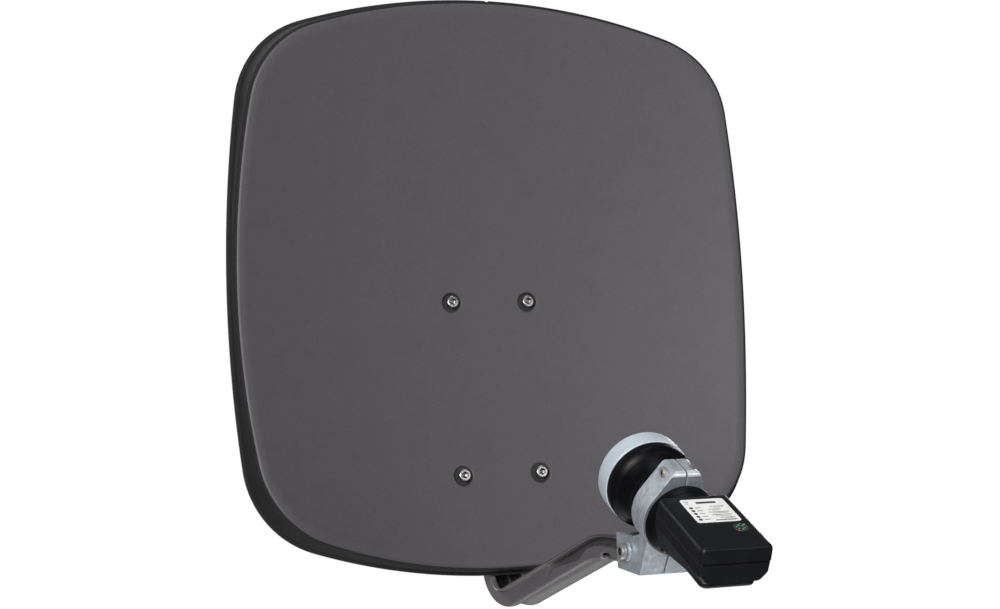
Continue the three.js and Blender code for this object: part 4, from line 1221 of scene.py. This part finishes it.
def polar(radius, turn):
    return Vector((radius * sin(turn), radius * cos(turn)))


def tangent(turn, length):
    return Vector((cos(turn), -sin(turn))) * length


def about_pivot(points):
    return [tuple(p + Vector(PIVOT_IN_FRAME)) for p in points]


def arc_slot():
    start, end = -(UPRIGHT + TILT_UP + SLOT_SPARE), -(UPRIGHT - TILT_DOWN - SLOT_SPARE)
    turns = [start + a for a in sweep(16, end - start)]
    outline = [polar(LOCK_RADIUS + SLOT_HALF, t) for t in turns] + slot_end(end, SLOT_HALF)
    outline += [polar(LOCK_RADIUS - SLOT_HALF, t) for t in reversed(turns)] + slot_end(start, -SLOT_HALF)
    return side_prism(about_pivot(outline), -WIDE, WIDE)


def slot_end(turn, reach):
    middle, out, along = polar(LOCK_RADIUS, turn), polar(reach, turn), tangent(turn, reach)
    return [middle + out * cos(a) + along * sin(a) for a in sweep(10, pi, 1)[:-1]]


def scale_marks():
    """Engraved degree marks above the slots, every fourth one longer."""
    bm = bmesh.new()
    low = LOCK_RADIUS + SLOT_HALF + 2
    for i, a in enumerate(sweep(MARK_STEPS, TILT_UP + TILT_DOWN)):
        turn = a - UPRIGHT - TILT_UP
        high = low + (4.4 if i % 4 == 0 else 2.8)
        side = tangent(turn, MARK_HALF_WIDTH)
        near, far = polar(low, turn), polar(high, turn)
        outline = about_pivot([near - side, near + side, far + side, far - side])
        for x in (-FRAME_HALF_WIDTH, FRAME_HALF_WIDTH):
            add_to(bm, side_prism(outline, x - MARK_DEPTH, x + MARK_DEPTH))
    return bm


def add_rear_frame():
    front = FRAME_FRONT
    section = bent_plate(FRAME_HALF_WIDTH, front, front + PLATE, 80)
    channel = extrude(section, -FRAME_HALF_HEIGHT, FRAME_HALF_HEIGHT)
    channel = keep(channel, side_prism(cheek_outline(), -60, 60))
    r, top = PAD_RADIUS, SEAT_DEPTH + SHEET + GAP
    pad = [(0, top), (r - 0.8, top), (r - 0.2, top + 0.4), (r, top + 1)]
    pad += [(r, front - 1.5), (r + 1.5, front + 0.6), (0, front + 0.6)]
    places = [(x, z) for x in (-SCREW_X, SCREW_X) for z in (-SCREW_Z, SCREW_Z)]
    pads = [moved(lathe(pad, 48), x, 0, z, (0, 1, 0)) for x, z in places]
    holes = along_holes(M6_HOLE, places + [(0, z) for z in ARM_BOLT_Z], 0, 20)
    holes += [across_hole(M8_HOLE, *PIVOT_IN_FRAME), arc_slot(), scale_marks()]
    bm = soften(cut(join(channel, *pads), *holes))
    piece("rear_channel", bm, FRAME, "dish", frame_paint, "rear_frame")


def notch(side):
    """The space cut out of a lip for the mast, with teeth along both flanks of the V."""
    flank = Vector((NOTCH_MOUTH, NOTCH_POINT - NOTCH_END))
    along = flank.normalized()
    into = Vector((-along.y, along.x)) * TOOTH_DEPTH
    start = Vector((-NOTCH_MOUTH, NOTCH_END))
    left = [(-WIDE, -20), (-WIDE, NOTCH_END)]
    for k in range(int(flank.length / TOOTH_PITCH)):
        left.append(start + along * TOOTH_PITCH * k)
        left.append(start + along * TOOTH_PITCH * (k + 0.5) + into)
    right = [(-x, y) for x, y in reversed(left)]
    return extrude([(x, y * side) for x, y in [*left, (0, NOTCH_POINT), *right]], -60, 60)


def folded(side, web, half_width, half_height):
    """A plate with its upper and lower edges folded over towards the mast, notched for it."""
    section = bent_plate(half_height, (web + PLATE) * side, web * side, 0)
    return cut(side_prism([(y, z) for z, y in section], -half_width, half_width), notch(side))


def bracket_outline():
    y, z = PIVOT
    back, half, lock = BRACKET_WEB_Y + PLATE, BRACKET_HALF_HEIGHT, z + LOCK_RADIUS
    points = [
        (back, -half), (y + 8, z - 14), (y - 6, z - 14), (y - 14, z - 6), (y - 14, z + 6),
        (y - 11, lock - 4), (y - 4, lock + 9), (y + 10, lock + 11), (back, half),
    ]
    return rounded(points, [0, 8, 4, 5, 5, 7, 6, 8, 0], 5)


def add_bracket():
    front, back, half = BRACKET_WEB_Y, BRACKET_WEB_Y + PLATE, BRACKET_HALF_HEIGHT
    channel = extrude(bent_plate(BRACKET_HALF_WIDTH, back, front, -100), -half, half)
    channel = keep(channel, side_prism(bracket_outline(), -60, 60))
    lips = folded(-1, -back, BRACKET_HALF_WIDTH - 0.01, half - 0.01)
    holes = along_holes(M8_HOLE, CLAMP_BOLTS, -40, -20)
    holes += [across_hole(M8_HOLE, *PIVOT), across_hole(M8_HOLE, PIVOT[0], PIVOT[1] + LOCK_RADIUS)]
    bm = soften(cut(join(channel, lips), *holes))
    piece("bracket_plate", bm, MAST, "mast", frame_paint, "mast_bracket")


def add_jaw():
    jaw = folded(1, -BRACKET_WEB_Y, JAW_HALF_WIDTH, JAW_HALF_HEIGHT)
    jaw = soften(cut(jaw, *along_holes(M8_HOLE, CLAMP_BOLTS, 0, 50)))
    piece("jaw_plate", jaw, MAST, "jaw", sheet_zinc, "mast_jaw")


# ---- the clamp, in the feed's frame ----

BAND_STEPS = 48
ROUNDING = 0.7
FOOT_FRONT = ((-251.5, -195.7), (-251.6, -218.6), (-286, -221.5))
ARM_SLOT = ((-240, -190), (-240, -216.1), (-284.5, -216.1), (-284.5, -190))


def band_outline():
    """Round band with a lug on top: the left flank runs straight down to the band."""
    touch = degrees(atan2(LUG_TOP, LUG_HALF) - acos(BAND_RADIUS / hypot(LUG_TOP, LUG_HALF)))
    corner = LUG_CORNER
    upright = acos(LUG_ROOT / NUT_SIDE_RADIUS)
    outline = arc(0, 0, BAND_RADIUS, 180 - touch, 270, BAND_STEPS)
    for a in sweep(BAND_STEPS, upright + pi / 2, 1):
        turn = a - pi / 2
        radius = BAND_RADIUS + (NUT_SIDE_RADIUS - BAND_RADIUS) * smooth((turn + pi / 4) / (pi / 3))
        outline.append(around(radius, turn))
    outline.append((LUG_ROOT - 0.5, LUG_TOP - 7))
    outline += arc(LUG_HALF - corner, LUG_TOP - corner, corner, 20, 90, 6)
    return outline + arc(corner - LUG_HALF, LUG_TOP - corner, corner, 90, 180 - touch, 6)


def lug_front():
    """What is cut away to round the lug's upper front edge."""
    r = LUG_FRONT_RADIUS
    y, s = LUG_TOP - r, BAND[1] - r
    outline = [(y + r * sin(a), s + r * cos(a)) for a in sweep(8)]
    return side_prism(outline + [(LUG_TOP + 1, s), (LUG_TOP + 1, BAND[1] + 1), (y, BAND[1] + 1)], -30, 30)


def feed_points(places):
    return [tuple((dish_to_feed @ Vector((0, y, z))).yz) for y, z in places]


def clamp_casting():
    """Both halves of the clamp in one, before they are sawn apart."""
    foot = feed_points(FOOT_FRONT) + [(-12, 60.5), (-12, BAND[0]), (-19, BAND[0]), (-26, 38)]
    foot = side_prism(foot, -FOOT_HALF_WIDTH, FOOT_HALF_WIDTH)
    reach = ARM_HALF_WIDTH + GAP
    y, z = LUG_SCREW
    flats = M5["nut"] / 2 + GAP
    corners = M5["nut"] / sqrt(3) + GAP
    holes = [
        rod(NECK_RADIUS + GAP, 30, 90, 96),
        side_prism(feed_points(ARM_SLOT), -reach, reach),
        across_hole(M5["shank"] + 0.4, y, z),
        block(NUT_POCKET_X, 30, y - flats, LUG_TOP + 5, z - corners, z + corners),
        across_hole(M6_HOLE, *feed_points([FOOT_BOLT])[0]),
        lug_front(),
    ]
    return cut(join(extrude(band_outline(), *BAND), foot), *holes)


def add_clamp():
    whole = clamp_casting()
    bmesh.ops.triangulate(whole, faces=whole.faces)
    half = SPLIT / 2
    for name, x0, x1 in (("left", -60, -half), ("right", half, 60)):
        # the roundings take the lighter zinc: painted highlight
        bm = soften(keep(whole.copy(), block(x0, x1, -80, 60, 0, 90)), ROUNDING, 3, material=1)
        # the lug's rounded front also takes the lighter zinc: painted highlight
        for face in bm.faces:
            middle = face.calc_center_median()
            if middle.y > LUG_TOP - LUG_FRONT_RADIUS and middle.z > BAND[1] - LUG_FRONT_RADIUS:
                face.material_index = 1
        made = piece(f"clamp_half_{name}", bm, FEED, "dish", cast_zinc, f"clamp_{name}")
        made.data.materials.append(highlight_zinc)


# ---- the feed, in the feed's frame ----

HORN_BACK = (
    (26.9, 25.6), (25.6, 26.3), (25.0, 26.9), (23.6, 29.4), (22.3, 31.6), (21.4, 34), (21.1, 36.4),
    (20.8, 37),
)
HORN_INSIDE = ((9, 37), (9, 30), (12, 26), (18, 14), (24.5, 3))
ROUND_SIDES = 128


def add_cap():
    r, wall, end = CAP_RADIUS, 1.5, CAP_SKIRT
    profile = [(0, 0), (8, 0.02), (16, 0.12), (22, 0.35)]
    profile += [(r - 4 + 4 * sin(a), 4.2 - 3.7 * cos(a)) for a in sweep(8, first=1)]
    profile += [(r, 9), (r, end - 1.2), (r - 0.12, end - 0.35), (r - 0.5, end), (r - wall + 0.2, end)]
    profile += [(r - wall, end - 0.3), (r - wall, 5), (r - 4, wall + 0.5), (0, wall)]
    piece("cap_shell", lathe(profile, ROUND_SIDES), FEED, "lnb", cap_plastic, "feed_cap")
    seal = lathe(arc(r - 2, 8.8, 0.24, 0, 330, 11))
    piece("cap_ring", seal, FEED, "lnb", seal_rubber, "cap_seal")


def add_horn():
    r, step, inner = HORN_RADIUS, CAP_SKIRT + GAP, CAP_RADIUS - 2.5
    profile = [(inner, 3), (inner, step), (r - 0.3, step), (r, step + 0.3), (r, 22.4), (r - 0.25, 23.2)]
    flare = lathe([*profile, *HORN_BACK, *HORN_INSIDE], ROUND_SIDES)
    piece("horn_flare", flare, FEED, "lnb", horn_plastic, "feed_horn")


def add_neck():
    r, big, front, end = NECK_RADIUS, COLLAR_RADIUS, BAND[1] + 0.6, SHELL_START - GAP
    slope = (COLLAR_END - big) / (end - front)
    cone = lambda s, inward=0: (big + slope * (s - front) - inward, s)
    profile = [
        (9, 37.3), (r - 0.3, 37.3), (r, 37.6), (r, front), (big - 0.9, front + 0.1),
        cone(front + 0.5, 0.2), cone(front + 1.2), cone(72.2), cone(72.5, 0.3), cone(73, 0.3), cone(73.3),
        cone(end - 1), cone(end - 0.3, 0.4), cone(end, 0.9), (9, end),
    ]
    piece("neck_tube", lathe(profile, ROUND_SIDES), FEED, "lnb", horn_plastic, "feed_neck")


# ---- the housing, in the feed's frame ----

STATIONS = (  # place along the feed, how far the section is drawn in
    (77.0, 1.2), (77.2, 0.5), (77.5, 0.15), (78, 0), (78.5, 0), (79, 0), (79.7, 0), (80.5, 0), (81.5, 0),
    (82.5, 0), (88, 0), (100, 0), (120, 0), (137.4, 0), (138.2, 0.12), (138.9, 0.4), (139.5, 0.85),
    (139.85, 1.35), (140, 2.0),
)
SHOULDER_RISE = 12.3
HOOD_BOX = (17.7, 104, 136.5)  # half width, inner end, outer end
HOOD_PROFILE = (  # inset, height
    (2.5, -6.5), (1.5, -6.3), (0.7, -5.7), (0.2, -4.8), (0, -3.7), (0, 7.2), (0.3, 7.5),
    (1.3, 7.5), (1.6, 7.2), (1.6, -3.7), (1.9, -5.0), (2.6, -6.1),
)
SHELL_SCREW = dict(shank=1.35, head=2.8, height=2, socket=2.2, pitch=0.9)
SHELL_SCREW_X, SOCKET_X = 16, 8.5
SOCKET_RADIUS, SOCKET_PITCH, SOCKET_FLATS, SOCKET_S = 4.75, 0.8, 10.9, 120
BOARD = (-19, 19, 90, 136)
BOARD_HEIGHT = (9.2, 10.8)
CHIPS = (  # x, place, width, length
    (-13.5, 98, 5, 4), (-1, 100, 8, 7), (12.5, 97, 4, 5), (0, 129, 3, 6), (-15, 111, 2, 4), (15, 110, 2, 4),
)


def housing_section(s, inset, upper):
    """The upper or the lower shell's section at a place along the LNB."""
    half = SHELL_HALF - inset
    if upper:
        side, top, seam = half - 0.25, SHELL_TOP - inset, SEAM + GAP / 2 + inset * 0.3
        return rounded([(half, seam), (side, top), (-side, top), (-half, seam)], [0.35, 3.2, 3.2, 0.35])
    rise = -12 + 11 * (s - SHELL_START) / (SHELL_END - SHELL_START) + inset
    side, low, floor, seam = half - 0.35, half - 5, min(rise, -0.4), SEAM - GAP / 2
    corners = [(-side, seam), (0.6 - half, 4.6), (-low, floor)]
    corners += [(-x, y) for x, y in reversed(corners)]
    return rounded(corners, [0.35, 3.4, 3.0, 3.0, 3.4, 0.35])


def shell_mesh(upper):
    """A shell whose inner end is drawn in towards the round neck."""
    rings = []
    for s, inset in STATIONS:
        share = min(1, (s - SHELL_START) / SHOULDER)
        limit = COLLAR_END + 0.1 - inset + SHOULDER_RISE * sqrt(1 - (1 - share) ** 2)
        near = [(x, y, min(1, limit / hypot(x, y))) for x, y in housing_section(s, inset, upper)]
        rings.append([(x * k, y * k, s) for x, y, k in near])
    return loft(rings)


def add_shells():
    upper = cut(shell_mesh(True), block(-20.6, 20.6, -3, SHELL_TOP - 2.2, 82, 137.8))
    piece("shell_upper", merged(upper), FEED, "lnb", black_plastic, "upper_shell")
    mouth = block(-18, 18, -20, 3, 103.7, 136.8)
    lower = cut(shell_mesh(False), block(-16.5, 16.5, -0.5, SEAM + 3, 86, 137.8), mouth)
    piece("shell_lower", merged(lower), FEED, "lnb", black_plastic, "lower_shell")


def add_shell_screws():
    for name, x in (("shell_screw_left", -SHELL_SCREW_X), ("shell_screw_right", SHELL_SCREW_X)):
        screw = moved(socket_screw(SHELL_SCREW, 26, 2), x, -9, 83, (0, 1, 0))
        piece(name + "_turned", screw, FEED, "lnb", black_steel, name)


def add_hood():
    half, low, high = HOOD_BOX
    rings = []
    for inset, y in HOOD_PROFILE:
        end = half - inset
        section = rounded_box(-end, end, low + inset, high - inset, 4.5 - inset)
        rings.append([(x, y, s) for x, s in section])
    piece("hood_shroud", closed_loft(rings), FEED, "hood", black_plastic, "weather_hood")


def add_sockets():
    """Screw-on cable sockets: hexagon, fine thread, bore and white insulator."""
    flats = lambda t: hex_reach(t, SOCKET_FLATS)
    r = SOCKET_RADIUS
    for name, x in (("cable_socket_left", -SOCKET_X), ("cable_socket_right", SOCKET_X)):
        downward = Matrix(((1, 0, 0, x), (0, 0, 1, 0), (0, 1, 0, SOCKET_S), (0, 0, 0, 1)))
        rings = rings_of([(3.0, 1.6), (3.0, -5.2), (4.1, -5.4)]) + thread_rings(r, SOCKET_PITCH, -5.1, 2.7)
        rings += rings_of([(4.4, 3.0), (flats, 3.0), (flats, 6.0), (r, 6.0), (r, 8.9)])
        barrel = loft(rings)
        core = loft(rings_of([(0.5, 1.5), (0.5, -3.2), (0.8, -3.6), (2.7, -3.6), (2.7, 1.5)]))
        piece(name + "_barrel", barrel, FEED @ downward, "lnb", nickel, name)
        piece(name + "_core", core, FEED @ downward, "lnb", dielectric)


def add_board():
    bm = level_prism(rounded_box(*BOARD, 1.5, 4), *BOARD_HEIGHT)
    under = BOARD_HEIGHT[0]
    for x, s, wide, long in CHIPS:
        chip = rounded_box(x - wide / 2, x + wide / 2, s - long / 2, s + long / 2, 0.2, 2)
        add_to(bm, level_prism(chip, under - 1.1, under - 0.02))
    piece("board_laminate", bm, FEED, "lnb", laminate, "circuit_board")


# ---- label and lamps, on top of the housing ----

LABEL = (-11.9, 16.6, 82.6, 110.6)
LABEL_BASE = SHELL_TOP + 0.15
INK_BASE = LABEL_BASE + 0.22
INK_DEPTH = 0.06
PARAGRAPH = ((15.5, 9.5), (13.5, 8), (12, 13.5), (12.5, 13), (16.5, 9.5))  # start and length of a row
SINGLE_BARS = ((9, 22, 4.6, 2.1), (1.8, 4.6, 3.2, 0.5), (1.8, 4.0, 5.2, 0.5), (12.5, 26.2, 26, 0.8))
LAMP_X, LAMP_S, LAMP_RING = 11.8, 118.3, 2.4
WINDOW = ((0, 0), (4.8, 0), (4.8, 0.12), (4.6, 0.26), (4.2, 0.26), (4.0, 0.16), (0, 0.16))
DOME = ((0, 0), (0.75, 0), (0.75, 0.1), (0.62, 0.26), (0.36, 0.36), (0, 0.4))


def bar(bm, x0, x1, z, width):
    """A printed bar, placed from the label's corner."""
    x, s = LABEL[0], LABEL[2] + z
    outline = rounded_box(x + x0, x + x1, s - width / 2, s + width / 2, width * 0.2, 2)
    add_to(bm, level_prism(outline, INK_BASE, INK_BASE + INK_DEPTH))


def dot(bm, x, z, radius):
    outline = arc(LABEL[0] + x, LABEL[2] + z, radius, 0, 345, 23)
    add_to(bm, level_prism(outline, INK_BASE, INK_BASE + INK_DEPTH))


def shrink(outline, by):
    cx, cz = [sum(values) / len(outline) for values in zip(*outline)]
    drawn = lambda value, middle: value - copysign(min(by, abs(value - middle)), value - middle)
    return [(drawn(x, cx), drawn(z, cz)) for x, z in outline]


def add_label():
    outline = rounded_box(*LABEL, 2.0)
    steps = ((0, 0), (0, 0.16), (0.08, 0.22))
    rings = [[(x, LABEL_BASE + up, s) for x, s in shrink(outline, by)] for by, up in steps]
    piece("rating_film", loft(rings), FEED, "lnb", film, "rating_label")
    bm = bmesh.new()
    for k in range(5):
        row = 10.6 + 3.5 * k
        dot(bm, 3.3, row, 1.2)
        bar(bm, 5.9, 9.4, row, 0.55)
    for k, (start, length) in enumerate(PARAGRAPH):
        bar(bm, start, start + length, 9.6 + 3.4 * k, 0.5)
        bar(bm, start + 2, start + length - 1, 11.0 + 3.4 * k, 0.3)
    for single in SINGLE_BARS:
        bar(bm, *single)
    piece("rating_print", bm, FEED, "lnb", print_ink)


def add_lamps():
    y = SHELL_TOP + 0.1
    window = moved(lathe(WINDOW, 64), LAMP_X, y, LAMP_S, (0, 1, 0))
    piece("lamp_disc", window, FEED, "lnb", lamp_glass, "lamp_window")
    for i in range(6):
        turn = radians(60 * i + 20)
        x, s = LAMP_X + LAMP_RING * cos(turn), LAMP_S + LAMP_RING * sin(turn)
        dome = moved(lathe(DOME, 24), x, y + 0.16, s, (0, 1, 0))
        colour = red_lamp if i == 2 else green_lamp
        piece(f"lamp_{i + 1}", dome, FEED, "lnb", colour)


def paint_cad():
    """A plain look for the CAD nodes, which the pieces stand in for."""
    for node in frame["nodes"].values():
        node.data.materials.clear()
        node.data.materials.append(steel)


add_camera()
add_studio()
paint_cad()
add_reflector()
add_arm()
add_rear_frame()
add_bracket()
add_jaw()
add_clamp()
add_cap()
add_horn()
add_neck()
add_shells()
add_board()
add_hood()
add_sockets()
add_label()
add_lamps()
add_shell_screws()
add_dish_fasteners()
add_clamp_fasteners()
add_mast_fasteners()
